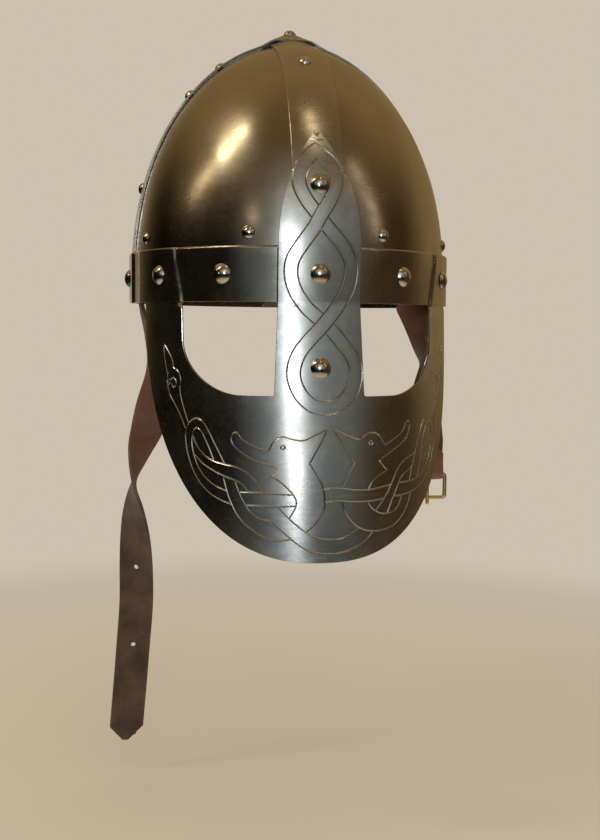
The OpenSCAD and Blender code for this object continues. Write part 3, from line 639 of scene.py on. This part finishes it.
# Right beast, which differs a little: its neck goes under the band, and its ring over the ribbon
right_beast = [
    [(7, -67.5), (10.4, -69), (15.7, -71.3), (21.8, -73.4)],
    [(21.8, -73.4), (24.6, -71), (28.2, -69.8), (31.2, -69.9), (34.2, -71.4), (36, -73.8), (38.1, -76.7)],
    [(38.1, -76.7), (43.1, -74.4), (50.4, -70.7), (53, -68), (54.6, -65.2), (56.6, -64.5), (58, -66.6),
     (56.2, -71.4), (53, -74.9), (45.7, -78.8), (38.1, -82.6), (34.3, -85.1)],
    [(34.3, -85.1), (36.8, -87.9), (39.4, -90.4)],
    [(39.4, -90.4), (33.4, -92.9), (29.6, -95.7), (27, -99.4)],
    [(7, -67.5), (9.8, -72.1), (13, -77), (16.3, -82), (18.6, -85.2)],
    [(18.6, -85.2), (16.2, -89.3), (13.8, -93.5), (11.6, -98.5)],
    [(11.4, -105.8), (12.4, -110.4), (15.2, -114.8), (18.7, -118.5), (22.8, -120.9), (27.5, -122.2),
     (32.4, -122.6), (38, -122), (44.1, -120.3), (49.2, -117.2), (53.7, -112.8), (56.6, -108.1),
     (58.2, -103.6)],
    [(26.2, -106.2), (27.9, -109), (30.8, -111.5), (34.8, -113.3), (39.2, -113.8), (43.6, -113),
     (47.3, -110.6), (50.7, -105)],
    [(31.3, -111.7), (35.4, -107.4), (39.4, -102.8), (42.9, -97.4), (46.4, -91.7), (50.4, -87.4),
     (55.3, -84.7), (61.7, -82.6)],
    [(39.3, -113.7), (42.6, -107.2), (45.4, -102.6), (48, -98), (51.6, -93.8), (58.9, -90.2)],
    [(1, -98.8), (5.8, -98.6), (12.2, -99), (19.5, -100), (27.9, -100.2), (34.4, -99.4), (41.6, -98.5)],
    [(47.9, -97.9), (55.9, -97.8), (62.4, -96.8), (67.6, -95.2), (73.1, -92), (78, -86.8), (80.8, -81),
     (82.3, -75.2), (82.1, -70.5), (80.5, -66.7), (78, -65.8), (75.5, -67.5), (73, -71.4), (70.8, -76.2),
     (69.8, -81.2), (68.2, -87), (66.4, -91.4), (64.6, -96.3)],
    [(1.7, -105.7), (10.2, -105.5), (16.1, -106), (22.9, -106.3), (30.1, -106.2), (36.8, -105.5)],
    [(43.8, -104.8), (50.9, -104.7), (57.9, -103.6), (63.9, -102.2), (70.3, -99.6), (76.5, -95),
     (81.7, -88.4), (85.3, -80.9), (87.1, -73.4), (87, -68.3), (85, -63.8), (81.1, -61.2), (77.2, -60.7),
     (73.8, -62.9), (70.5, -67.3), (67.2, -72.8), (64.4, -78.6), (62.6, -83.6), (60.2, -89), (57.2, -97.8)],
    [(70, -80.8), (74.2, -79), (77.6, -76.4), (82, -71.6)],
    [(68, -87.6), (73.4, -84.8), (80, -81.3)],
]
# The small head on the left arm, and the same one turned over on the right arm
small_head = [
    [(-78.2, -65.6), (-81.6, -58), (-83.9, -52), (-84.6, -46.4)],
    [(-80.4, -69), (-83.8, -63.2), (-88.8, -56.8), (-93.4, -51.8)],
    [(-98.9, -23.6), (-98.6, -29.6), (-97, -35.6), (-95.5, -41), (-95.6, -46.4), (-93.4, -51.8)],
    [(-98.9, -23.6), (-94.3, -28), (-90.9, -32.6), (-90, -36.4), (-87.2, -37.6), (-84.7, -40.2),
     (-83.8, -43.6), (-84.6, -46.4)],
    [(-91.9, -43.2), (-90, -42.2), (-88, -43.4), (-87.6, -45.6), (-89, -47.4), (-91, -47), (-91.4, -45.4)],
]
other_head = [[(round(7.4 - x, 1), round(z + 3, 1)) for x, z in c] for c in small_head]
other_head[1][0] = (87.6, -66.2)
# The sweep ribbon under the chin joins the two beasts
sweep = [
    [(-23.4, -108.3), (-18.3, -113.6), (-13.4, -117.9), (-8.6, -121.5), (-3.4, -124.3), (2.6, -125.5),
     (8.1, -125.5), (12.8, -124.4), (17.3, -122.3), (20.6, -119.8)],
    [(-31.4, -108.3), (-27.5, -115), (-22.6, -119.9), (-17.7, -124), (-12.7, -128), (-7, -131.2),
     (-1, -132.7), (6, -133.1), (11.9, -132.3), (17.2, -130.7), (22, -128.5), (26.3, -125.7), (29.6, -122.5)],
]
strokes += [smooth_line(c, 0.8) for c in left_beast + small_head + right_beast + other_head + sweep]
eye_ring = 1.1
strokes += [np.array(arc(x, z, eye_ring, 0, 2 * math.pi, 13)) for x, z in ((28.6, -75.2), (-20.4, -77))]
strokes = [s / 1000 for s in strokes]

# Outline of the plate, by width and height: jaw, arm, eye opening, foot of the nasal, and nasal
jaw_x, jaw_z, jaw_curve = 0.090, 0.138, 2 / 2.5
eye_x, eye_z, eye_r = 0.041, -0.020, 0.030
foot_x, foot_z, foot_r = 0.0258, -0.0488, 0.0012
tip_z, spring_z, nasal_x = 0.094, 0.094 / 3, 0.0225
leaf_r = (nasal_x ** 2 + (tip_z - spring_z) ** 2) / (2 * nasal_x)
jaw = [(np.sign(c) * jaw_x * abs(c) ** jaw_curve, -jaw_z * s ** jaw_curve)
       for c, s in ((np.cos(a), np.sin(a)) for a in np.linspace(np.pi, 0, 241))]
arm = [(0.0895, 0.0), (0.0890, 0.019), (0.0745, 0.019), (0.0713, 0.0)]
corner = arc(eye_x, eye_z, eye_r, 0, -math.pi / 2, 25)
inner = arc(foot_x, foot_z, foot_r, -math.pi / 2, -math.pi, 5)
leaf = [(nasal_x - leaf_r + math.sqrt(leaf_r ** 2 - (z - spring_z) ** 2), z)
        for z in np.linspace(spring_z, tip_z - 0.0004, 40)]
half = arm + corner + inner + [(nasal_x, 0.0)] + leaf
edge = np.array(jaw + half + [(0, tip_z)] + [(-x, z) for x, z in half[::-1]])
edge[:, 0] = u_from_x(edge[:, 0])
edge = spaced(edge, 0.0013, closed=True)
keep = [0]
for i in range(1, len(edge)):
    if np.hypot(*(edge[i] - edge[keep[-1]])) > 0.0003:
        keep.append(i)
edge = edge[keep]
along = unit(unit(np.roll(edge, -1, 0) - edge) + unit(edge - np.roll(edge, 1, 0)))
area = 0.5 * np.sum(edge[:, 0] * np.roll(edge[:, 1], -1) - np.roll(edge[:, 0], -1) * edge[:, 1])
inward = left_of(along) * (1 if area > 0 else -1)
bevel = 0.00025
inset = edge + inward * bevel


def inside(points, outline):
    x, y = points[:, 0], points[:, 1]
    hit = np.zeros(len(points), bool)
    for (x1, y1), (x2, y2) in zip(outline, np.roll(outline, -1, 0)):
        if y1 != y2:
            hit ^= ((y1 > y) != (y2 > y)) & (x < (x2 - x1) * (y - y1) / (y2 - y1) + x1)
    return hit


def search_tree(points):
    tree = KDTree(len(points))
    for i, p in enumerate(points):
        tree.insert((p[0], p[1], 0), i)
    tree.balance()
    return tree


def gap_to(tree, p):
    """Distance of a point in the plane from the nearest one in a search tree"""
    return tree.find((p[0], p[1], 0))[2]


def join(points, edges, line, closed=False):
    """Add a line to the points and edges of a flat mesh"""
    first, n = len(points), len(line)
    points += [tuple(p) for p in line]
    edges += [(first + i, first + (i + 1) % n) for i in range(n if closed else n - 1)]


def triangulate(points, edges, outlines):
    """Places and triangles of a flat mesh, and which points each place comes from"""
    found = delaunay_2d_cdt([Vector(p) for p in points], edges, outlines, 0, 1e-6, True)
    return np.array([(p.x, p.y) for p in found[0]]), np.array([tuple(f) for f in found[2]]), found[3]


# The grooves are V-shaped
groove_w, groove_d = 0.0009, 0.00030
cut = search_tree([p for s in strokes for p in spaced(s, 0.00015)])


def filled(outline, lines, step):
    """Triangles that fill an outline and follow the lines, with points on a loose grid between"""
    points, edges = [tuple(p) for p in outline], []
    for line in lines:
        for off in (-groove_w / 2, 0, groove_w / 2):
            join(points, edges, side_line(line, off) if off else line)
    us, zs = np.arange(-0.128, 0.128, step), np.arange(-0.139, 0.095, step)
    grid = np.array([(u + (0.5 * step if k % 2 else 0), z) for k, z in enumerate(zs) for u in us])
    rim = search_tree(outline)
    points += [tuple(p) for p in grid[inside(grid, outline)]
               if gap_to(rim, p) > step * 0.45 and (not lines or gap_to(cut, p) > groove_w * 0.9)]
    places, triangles, source = triangulate(points, edges, [list(range(len(outline)))])
    kept = inside(places[triangles].mean(1), outline)
    return places, [tuple(f) for f in triangles[kept]], source


front, front_faces, source = filled(inset, strokes, 0.0040)
back_points, back_faces, back_source = filled(inset, [], 0.0050)


def on_plate(points):
    """Places and outward directions on the plate's outer face, by distance along it and height"""
    x, z = x_from_u(points[:, 0]), points[:, 1]
    return np.stack([x, face_surface(x, z), z], 1), face_normal(x, z)


def ring_of(source, count):
    """Place of each outline point among the filled triangles' points"""
    where = {k: i for i, s in enumerate(source) for k in s if k < count}
    return [where[k] for k in range(count)]


def across_of(a, b):
    """Unit vector square to two others"""
    flat = np.cross(a, b)
    return flat / max(np.linalg.norm(flat), 1e-12)


def facing_out(tri, places):
    a, b, c = (places[i] for i in tri[:3])
    return np.cross(b - a, c - a)[1] < 0


depth = np.array([groove_d * max(0.0, 1 - gap_to(cut, p) / (groove_w / 2)) for p in front])
front_place, front_n = on_plate(front)
front_place -= front_n * depth[:, None]
back_place, back_n = on_plate(back_points)
back_place -= back_n * sheet
edge_place, edge_n = on_plate(edge)
wall_top, wall_low = edge_place - edge_n * bevel, edge_place - edge_n * (sheet - bevel)
verts = np.vstack([front_place, back_place, wall_top, wall_low])
back_at = len(front_place)
top_at = back_at + len(back_place)
low_at = top_at + len(edge)
faces, normals = [], []
for f in front_faces:
    f = f if facing_out(f, front_place) else f[::-1]
    faces.append(f)
    if max(depth[i] for i in f) > 1e-7:
        a, b, c = (front_place[i] for i in f[:3])
        normals += [across_of(b - a, c - a)] * len(f)
    else:
        normals += [front_n[i] for i in f]
for f in back_faces:
    f = f[::-1] if facing_out(f, back_place) else f
    faces.append(tuple(back_at + i for i in f))
    normals += [-back_n[i] for i in f]
front_ring = ring_of(source, len(inset))
back_ring = [back_at + i for i in ring_of(back_source, len(inset))]
for i in range(len(edge)):
    j = (i + 1) % len(edge)
    for ring in ((front_ring[i], front_ring[j], top_at + j, top_at + i),
                 (top_at + i, top_at + j, low_at + j, low_at + i),
                 (low_at + i, low_at + j, back_ring[j], back_ring[i])):
        ring = ring[::-1] if area > 0 else ring
        faces.append(ring)
        a, b, c, d = (verts[k] for k in ring)
        normals += [across_of(c - a, d - b)] * 4
face = mesh_piece("engraved_face_plate", verts, faces, mask_steel, "shell", normals)
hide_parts("face_plate")


# Rivets: domed heads set with a hollow punch over soft iron shanks. The large ones hold the brow
# band and the nasal, the small ones the dome's bands and, over the brow, the leather liner too.
def dress(names, material):
    for n in names:
        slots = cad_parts[n].data.materials
        slots.clear()
        slots.append(material)


rivet_steel = steel("rivet_steel", (0.62, 0.60, 0.56), 0.17, 0.0002, 0.2)
dress([name + "_rivets" for name in ("brow", "plate", "crest", "side", "nasal", "strap")], rivet_steel)


# Apex rivet: it goes through both bands and all four plates at the crown's point. Its head is
# higher than the others and stands out over the side band; its inner end is peened flat.
cad_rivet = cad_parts["apex_rivet"]
corners = [cad_rivet.matrix_world @ Vector(c) for c in cad_rivet.bound_box]
cad_head_h = 0.0022
foot, seat = min(c.z for c in corners), max(c.z for c in corners) - cad_head_h
head_r, head_h, shank_r, tail_r, tail_h = 0.0041, 0.0037, 0.0020, 0.0033, 0.0015
quarter = np.radians(np.linspace(90, 0, 10))
profile = [(head_r * math.cos(a), seat + head_h * math.sin(a)) for a in quarter]
profile += [(shank_r, seat - 0.0002), (shank_r, foot + tail_h)]
profile += [(tail_r * math.cos(a), foot + tail_h * (1 - math.sin(a))) for a in quarter[::-1]]
turns = np.linspace(0, 2 * math.pi, 33)[:-1]
verts = [(r * math.cos(a), r * math.sin(a), z) for a in turns for r, z in profile]
faces = grid_faces(len(turns), len(profile), closed=True)
apex = mesh_piece("peened_apex_rivet", verts, faces, rivet_steel, "shell")
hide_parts("apex_rivet")


# Liner: a headband of oak-tanned leather, rough side in, cut in one piece with eight tongues.
# Small rivets and washers hold it, and each tongue's tip is folded over the crown lace and sewn.
grain, given, gives = new_group(
    "leather_grain",
    {"Grain": ("Float", 900.0), "Depth": ("Float", 0.00012), "Fibre": ("Float", 0.3)},
    {"Tone": ("Float", None), "Pores": ("Float", None), "Normal": ("Vector", None)})
here = node(grain, "ShaderNodeTexCoord").outputs["Object"]
cells = node(grain, "ShaderNodeTexVoronoi", feature="DISTANCE_TO_EDGE")
feed_all(grain, cells, {"Vector": here, "Scale": given["Grain"]})
pores = ramp(grain, cells.outputs["Distance"], 0.0, 0.22)
fibres = noise_at(grain, stretched(grain, here, (1.0, 1.0, 0.22)), 2100.0, 3.0, 0.7)
creases = noise_at(grain, here, 190.0, 5.0, 0.65)
height = maths(grain, "ADD", maths(grain, "MULTIPLY", pores, 0.5), maths(grain, "MULTIPLY", creases, 0.9))
height = maths(grain, "ADD", height, maths(grain, "MULTIPLY", fibres, given["Fibre"]))
feed_all(grain, gives, {"Tone": noise_at(grain, here, 55.0, 6.0, 0.6), "Pores": pores,
                        "Normal": bump(grain, height, given["Depth"])})


def leather(name, light, dark, edge, rough, cell, depth, fibre, fuzz):
    """Vegetable-tanned leather, with its tone going between two colours and its edges rubbed"""
    m, t, shader = new_surface(name)
    skin = place_group(t, grain, Grain=cell, Depth=depth, Fibre=fibre)
    worn = place_group(t, wear, Reach=0.08)
    tone = blend_colour(t, ramp(t, skin["Tone"], 0.32, 0.68), dark, light)
    pitted = maths(t, "MULTIPLY", ramp(t, skin["Pores"], 1.0, 0.0), 0.35)
    tone = blend_colour(t, pitted, tone, tuple(c * 0.45 for c in dark))
    tone = blend_colour(t, worn["Rubbed"], tone, edge)
    feed_all(t, shader, {"Base Color": tone, "Normal": skin["Normal"], "Specular IOR Level": 0.35,
                         "Roughness": ramp(t, skin["Tone"], 0.25, 0.8, rough - 0.08, rough + 0.08),
                         "Sheen Weight": fuzz, "Sheen Roughness": 0.5})
    return m


liner_leather = leather("liner_leather", (0.150, 0.070, 0.032), (0.085, 0.038, 0.018), (0.20, 0.11, 0.06),
                        0.78, 620.0, 0.00020, 0.8, 0.15)
# The tongues stand midway between the rivets over the brow, and rise as an ellipsoid to the lace
hide = 0.0022
liner_off, liner_dome, mean_reach = -0.0027, 0.1097, 0.1003
band_low, band_high, lace_r = 0.028, 0.050, 0.026
tip_r, tip_half, fold_r = lace_r + 0.0022, 0.007, 0.0029
lace_z = wall + liner_dome * math.sqrt(1 - (tip_r / mean_reach) ** 2)
plate_turns = [math.radians(a) for a in (23, 70, 110, 157)]
ways = sorted(math.atan2(-half_l * math.cos(a), s * half_w * math.sin(a))
              for a in plate_turns for s in (-1, 1))


def liner_reach(way, z):
    """Distance of the liner's middle surface from the axis, in a plan direction and at a height"""
    band = np.sqrt(1 - ((np.maximum(z, wall) - wall) / (crown + liner_off)) ** 2)
    tongue = np.sqrt(np.maximum(1 - ((z - wall) / liner_dome) ** 2, 0))
    s = eased(z, 0.040, 0.060)
    a, b = half_w + liner_off, half_l + liner_off
    return (band * (1 - s) + tongue * s) * a * b / np.hypot(b * np.cos(way), a * np.sin(way))


def liner_row(reach, way, z):
    x, y = reach * np.cos(way), reach * np.sin(way)
    return [tuple(p) for p in np.column_stack([x, y, np.full(len(way), z)])]


shares = np.linspace(-1, 1, 15)
levels = list(np.linspace(band_low, band_high, 10))
levels += [band_high + d for d in (0.0002, 0.0008, 0.0018, 0.0032, 0.005, 0.0068, 0.008)]
rise = math.asin((levels[-1] - wall) / liner_dome)
levels += [wall + liner_dome * math.sin(a) for a in np.linspace(rise, math.acos(0.036 / mean_reach), 22)[1:]]
fold = [(0.0330, lace_z - 0.0014), (0.0305, lace_z + 0.0006), (0.0280, lace_z + 0.0023)]
fold += arc(lace_r, lace_z, fold_r, math.pi / 2, math.pi * 3 / 2, 9)
fold += [(0.0290, lace_z - 0.0037), (0.0330, lace_z - 0.0048), (0.0375, lace_z - 0.0063)]
verts, faces = [], []
for k, way in enumerate(ways):
    low = (way + ways[k - 1] - (2 * math.pi if k == 0 else 0)) / 2 - way
    high = (way + ways[(k + 1) % 8] + (2 * math.pi if k == 7 else 0)) / 2 - way
    full = np.where(shares < 0, -low, high) * shares
    start = len(verts)
    for z in levels:
        r = liner_reach(way, z)
        slim = np.arcsin(shares * (tip_half + (r - tip_r) * 0.28) / r)
        v = min(max((z - band_high) / 0.008, 0), 1)
        s = math.sqrt(1 - (1 - v) ** 2)
        at = way + full * (1 - s) + slim * s
        verts += liner_row(liner_reach(at, z), at, z)
    for r, z in fold:
        verts += liner_row(r, way + np.arcsin(shares * tip_half / r), z)
    faces += [tuple(start + i for i in f) for f in grid_faces(len(levels) + len(fold), len(shares))]
liner = mesh_piece("sewn_leather_liner", verts, faces, liner_leather, "shell")
joiner = liner.modifiers.new("one_piece", "WELD")
joiner.merge_threshold = 0.00002
thicken(liner, hide, 0.0004, 0.0)
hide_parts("liner")


# Waxed linen thread: a row of stitches along the headband's lower edge, and two rows that
# close each tongue's fold.
def tube(points, radius, sides=8, closed=False):
    """Verts and faces of a round cord through the points, tapered where radius is a list"""
    points = np.asarray(points, float)
    n = len(points)
    radii = np.full(n, radius) if np.isscalar(radius) else np.asarray(radius)
    ahead = (np.roll(points, -1, 0) - np.roll(points, 1, 0)) if closed else np.gradient(points, axis=0)
    verts, last = [], None
    for p, d, r in zip(points, ahead, radii):
        d = d / np.linalg.norm(d)
        side = np.cross(d, (0.3, 0.2, 1.0)) if last is None else last - d * np.dot(last, d)
        side /= np.linalg.norm(side)
        last, other = side, np.cross(d, side)
        verts += [tuple(p + r * (math.cos(a) * side + math.sin(a) * other))
                  for a in np.arange(sides) * 2 * math.pi / sides]
    faces = []
    for i in range(n if closed else n - 1):
        a, b = i * sides, (i + 1) % n * sides
        faces += [(a + j, a + (j + 1) % sides, b + (j + 1) % sides, b + j) for j in range(sides)]
    if not closed:
        faces += [tuple(range(sides))[::-1], tuple((n - 1) * sides + j for j in range(sides))]
    return verts, faces


def gather(pieces):
    """Verts and faces of several pieces as one"""
    verts, faces = [], []
    for v, f in pieces:
        faces += [tuple(len(verts) + i for i in q) for q in f]
        verts += v
    return verts, faces


thread_r = 0.00045


def stitch(a, b, out):
    """One stitch of thread from a to b, which goes into the leather at both ends"""
    a, b, out = (np.asarray(v) for v in (a, b, out))
    hump = [(0.0, -1.6), (0.10, 0.4), (0.35, 0.9), (0.65, 0.9), (0.90, 0.4), (1.0, -1.6)]
    return tube([a + (b - a) * s + out * h * thread_r for s, h in hump], thread_r, 6)


thread = leather("waxed_thread", (0.42, 0.33, 0.20), (0.30, 0.22, 0.13), (0.45, 0.36, 0.24),
                 0.55, 2400.0, 0.00005, 1.0, 0.0)
stitches, count, row_z = [], 132, 0.0312
for k in range(count):
    ends = []
    for a in (2 * math.pi * (k + 0.18) / count, 2 * math.pi * (k + 0.82) / count):
        r = liner_reach(a, row_z) - hide / 2
        ends.append((r * math.cos(a), r * math.sin(a), row_z))
    a = 2 * math.pi * (k + 0.5) / count
    stitches.append(stitch(ends[0], ends[1], (-math.cos(a), -math.sin(a), 0)))
for way in ways:
    for r, z in ((0.0318, lace_z - 0.0045), (0.0350, lace_z - 0.00545)):
        for c in (-0.0045, -0.0015, 0.0015):
            across = np.array((-math.sin(way), math.cos(way), 0))
            at = np.array((r * math.cos(way), r * math.sin(way), z - hide / 2 - 0.0001))
            stitches.append(stitch(at + across * c, at + across * (c + 0.0028), (0, 0, -1)))
sewing = mesh_piece("liner_stitches", *gather(stitches), thread, "shell")


# Crown lace: a round leather thong that runs through the folds of all eight tongues. It is tied
# at the back in a flat knot, with two short ends, so the wearer can set the liner's depth.
lace_leather = leather("lace_leather", (0.24, 0.13, 0.065), (0.14, 0.07, 0.035), (0.30, 0.18, 0.10),
                       0.6, 1500.0, 0.00010, 0.6, 0.05)
lace_half = 0.0013
ring = [(lace_r * math.cos(a), lace_r * math.sin(a), lace_z + 0.00015 * math.sin(5 * a))
        for a in np.linspace(0, 2 * math.pi, 97)[:-1]]
knot = []
for a in np.linspace(0, 2 * math.pi, 49)[:-1]:
    swell = 0.0021 + 0.0010 * math.cos(3 * a)
    knot.append((swell * math.cos(2 * a) * 1.3, lace_r + 0.0012 * math.sin(3 * a) - 0.0006,
                 lace_z + swell * math.sin(2 * a)))
laces = [tube(ring, lace_half, 10, closed=True), tube(knot, 0.0011, 8, closed=True)]
for s in (-1, 1):
    hang = [(s * (0.0008 + 0.0042 * (d / 0.024) ** 1.3), lace_r - 0.0004 + 0.0008 * math.sin(d * 190 + s),
             lace_z - 0.0012 - d) for d in np.linspace(0, 0.023, 16)]
    laces.append(tube(hang, [lace_half] * 14 + [0.0012, 0.0009], 10))
lace = mesh_piece("tied_crown_lace", *gather(laces), lace_leather, "shell")
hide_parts("crown_lace")


# Washers behind the liner and the straps, and the buckle's rivet, wire frame and prong: brass,
# turned or bent by hand and left slightly dull.
brass = steel("brass", (0.95, 0.73, 0.38), 0.30, 0.0002, 0.2)
dress(["liner_washers", "strap_washers", "fold_rivet", "buckle_frame", "buckle_prong"], brass)


# Long strap, on the wearer's right: cut from belt leather, punched for the buckle, and hung by its
# ear rivet. It has taken a half twist, so its smooth side shows above and its rough side below.
strap_w, strap_x, rivet_z, ear_hole_r = 0.021, 0.0927, 0.015, 0.00205
half_strap = strap_w / 2
# Where it hangs free of the rivet, its edges cup and it is a little out of true
free_from, cup_h, slack_h = (0.009, 0.028), 0.0006, 0.0007
grain_side = leather("strap_grain_side", (0.185, 0.080, 0.048), (0.120, 0.052, 0.032), (0.26, 0.15, 0.10),
                     0.58, 800.0, 0.00010, 0.35, 0.05)
rough_side = leather("strap_rough_side", (0.120, 0.073, 0.046), (0.052, 0.031, 0.020), (0.19, 0.13, 0.09),
                     0.85, 1300.0, 0.00018, 1.0, 0.20)
cut_edge = leather("strap_cut_edge", (0.13, 0.075, 0.048), (0.07, 0.04, 0.027), (0.20, 0.13, 0.09),
                   0.75, 1600.0, 0.00015, 1.0, 0.05)
# Each point: drop below the rivet and inward shift in mm, and turn of the strap's face in degrees
long_path = [(7, 0, 0), (20, 2, 2), (34, 5.5, 6), (48, 8, 12), (60, 8.5, 24), (75, 8, 56), (90, 6, 90),
             (108, 1, 138), (128, -3, 180), (145, -3, 212), (165, -2.3, 238), (185, -1.9, 256),
             (205, -2, 266), (230, -3.8, 270), (258, -6, 272), (284, -8.2, 273)]
short_path = [(7, 0, 0), (9, 5.9, 32), (11.5, 9.6, 66), (14, 10.4, 96), (17, 10.1, 119), (22, 8.9, 138),
              (32, 6.4, 155), (43, 4.7, 175), (58, 3.4, 212), (73, 1.7, 246), (87, 0, 264),
              (99, -1.2, 270), (108, -1.5, 270)]


def strap_line(path, length, side):
    """Centre line, direction across and outward direction of a hanging strap, by distance along it"""
    path = np.array(path, float)
    path[:, 0] = 7 + (path[:, 0] - 7) * length / path[-1, 0]
    fine = smooth_line(path, 1.5)
    fine = np.vstack([[(-14.0, 0, 0), (-7.0, 0, 0), (0.0, 0, 0)], fine])
    drop, shift, turn = fine[:, 0] / 1000, fine[:, 1] / 1000, np.radians(fine[:, 2])
    centre = np.column_stack([side * (strap_x - shift), 0 * drop, rivet_z - drop])
    across = np.column_stack([side * np.sin(turn), np.cos(turn), 0 * turn])
    out = np.column_stack([side * np.cos(turn), -np.sin(turn), 0 * turn])
    return drop, centre, across, out


def cut_strap(name, outline, holes, line, body):
    """A strap cut to an outline, with holes, and bent along a line"""
    along, centre, across, out = line
    rim = spaced(outline, 0.0012, closed=True)
    points, edges = [], []
    for loop in [rim] + holes:
        join(points, edges, loop, closed=True)
    step = 0.0018
    grid = np.array([(u, v) for u in np.arange(-half_strap + step / 2, half_strap, step)
                     for v in np.arange(rim[:, 1].min(), rim[:, 1].max(), step)])
    near = search_tree(points)
    points += [tuple(p) for p in grid[inside(grid, rim)] if gap_to(near, p) > step * 0.5]
    flat, triangles = triangulate(points, edges, [])[:2]
    middles = flat[triangles].mean(1)
    kept = inside(middles, rim)
    for hole in holes:
        kept &= ~inside(middles, np.array(hole))
    u, v = flat[:, 0], flat[:, 1]
    at = [np.stack([np.interp(v, along, a[:, i]) for i in range(3)], 1) for a in (centre, across, out)]
    slack = np.array([noise.noise(Vector((a * 45, b * 28, 3.7))) for a, b in flat]) * slack_h
    lift = eased(v, *free_from) * (slack - cup_h * (u / half_strap) ** 2)
    places = at[0] + at[1] * u[:, None] + at[2] * lift[:, None]
    faces = []
    for f in triangles[kept]:
        a, b, c = places[f]
        faces.append(tuple(f) if np.dot(np.cross(b - a, c - a), at[2][f].mean(0)) > 0 else tuple(f[::-1]))
    used = sorted({i for f in faces for i in f})
    new = {old: i for i, old in enumerate(used)}
    strap = mesh_piece(name, places[used], [tuple(new[i] for i in f) for f in faces], grain_side, body)
    strap.data.materials.append(rough_side)
    strap.data.materials.append(cut_edge)
    thicken(strap, hide, 0.00035, 0.0)
    wall_maker = strap.modifiers["thickness"]
    wall_maker.use_even_offset = False
    wall_maker.material_offset, wall_maker.material_offset_rim = 1, 2
    return strap


def round_hole(v, radius):
    return arc(0, v, radius, 0, 2 * math.pi, 17)[:-1]


def strap_outline(foot):
    """Round upper end and straight sides, then the given points of the lower end, to one side"""
    return np.array(arc(0, 0, half_strap, -math.pi, 0, 19) + foot + [(-u, v) for u, v in foot[::-1]])


long_l, point_l, hole_gap, hole_r = 0.293, 0.009, 0.050, 0.0015
drops = [long_l - point_l - strap_w * 4 / 3 - hole_gap * (0.5 + i) for i in range(2)]
line = strap_line(long_path, (long_l - point_l) * 1000, -1)
end = [a[-1] + (a[-1] - a[-2]) * point_l / (line[0][-1] - line[0][-2]) for a in line[1:]]
line = (np.append(line[0], long_l),) + tuple(np.vstack([a, e]) for a, e in zip(line[1:], end))
outline = strap_outline([(half_strap, long_l - point_l), (0.0018, long_l)])
holes = [round_hole(0, ear_hole_r)] + [round_hole(d, hole_r) for d in drops]
long_strap = cut_strap("hanging_long_strap", outline, holes, line, "long_strap")
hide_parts("long_strap")


# Short strap, on the wearer's left: it twists behind the cheek, passes round the buckle's bar with a
# slot for the prong, and its end is riveted back on itself.
bar_drop, buckle_x, wrap = 0.124, 0.0942, 0.0024
drop, centre, across, out = strap_line(short_path, 110, 1)
keep = drop <= 0.098
kept = keep.sum()
bar_z = rivet_z - bar_drop
fold = [(0.0004, bar_z + 0.022), (0.0010, bar_z + 0.017), (0.00115, bar_z + 0.0125),
        (0.00125, bar_z + 0.0085), (0.0019, bar_z + 0.0040)]
fold += arc(0, bar_z, wrap, 0, -math.pi, 13)
fold += [(-y, z) for y, z in fold[4:0:-1]]
bend = np.array([(buckle_x, y, z) for y, z in fold])
bend_ahead = unit(np.gradient(bend, axis=0))
bend_across = np.tile((-1.0, 0.0, 0.0), (len(bend), 1))
centre = np.vstack([centre[keep], bend])
across = np.vstack([across[keep], bend_across])
out = np.vstack([out[keep], np.cross(bend_ahead, bend_across)])
steps = np.linalg.norm(np.diff(centre[kept - 1:], axis=0), axis=1)
along = np.concatenate([drop[keep], drop[keep][-1] + np.cumsum(steps)])
bar_at = along[kept + 5]
bar_far = bar_at + math.pi * wrap
slot_r, slot_reach = 0.0016, 0.0030
slot = np.array(arc(0, bar_at - slot_reach, slot_r, 0, -math.pi, 7)
                + arc(0, bar_far + slot_reach, slot_r, -math.pi, -2 * math.pi, 7))
slot = np.stack([slot, (slot + np.roll(slot, -1, 0)) / 2], 1).reshape(-1, 2)
fold_hole_r, fold_hole_at = 0.0013, 0.0105
holes = [round_hole(0, ear_hole_r), slot]
holes += [round_hole(v, fold_hole_r) for v in (bar_at - fold_hole_at, bar_far + fold_hole_at)]
last, clipped = along[-1], 0.003
outline = strap_outline([(half_strap, last - clipped), (half_strap - clipped, last)])
line = (along, centre, across, out)
short_strap = cut_strap("folded_buckle_strap", outline, holes, line, "buckle_strap")
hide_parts("buckle_strap")
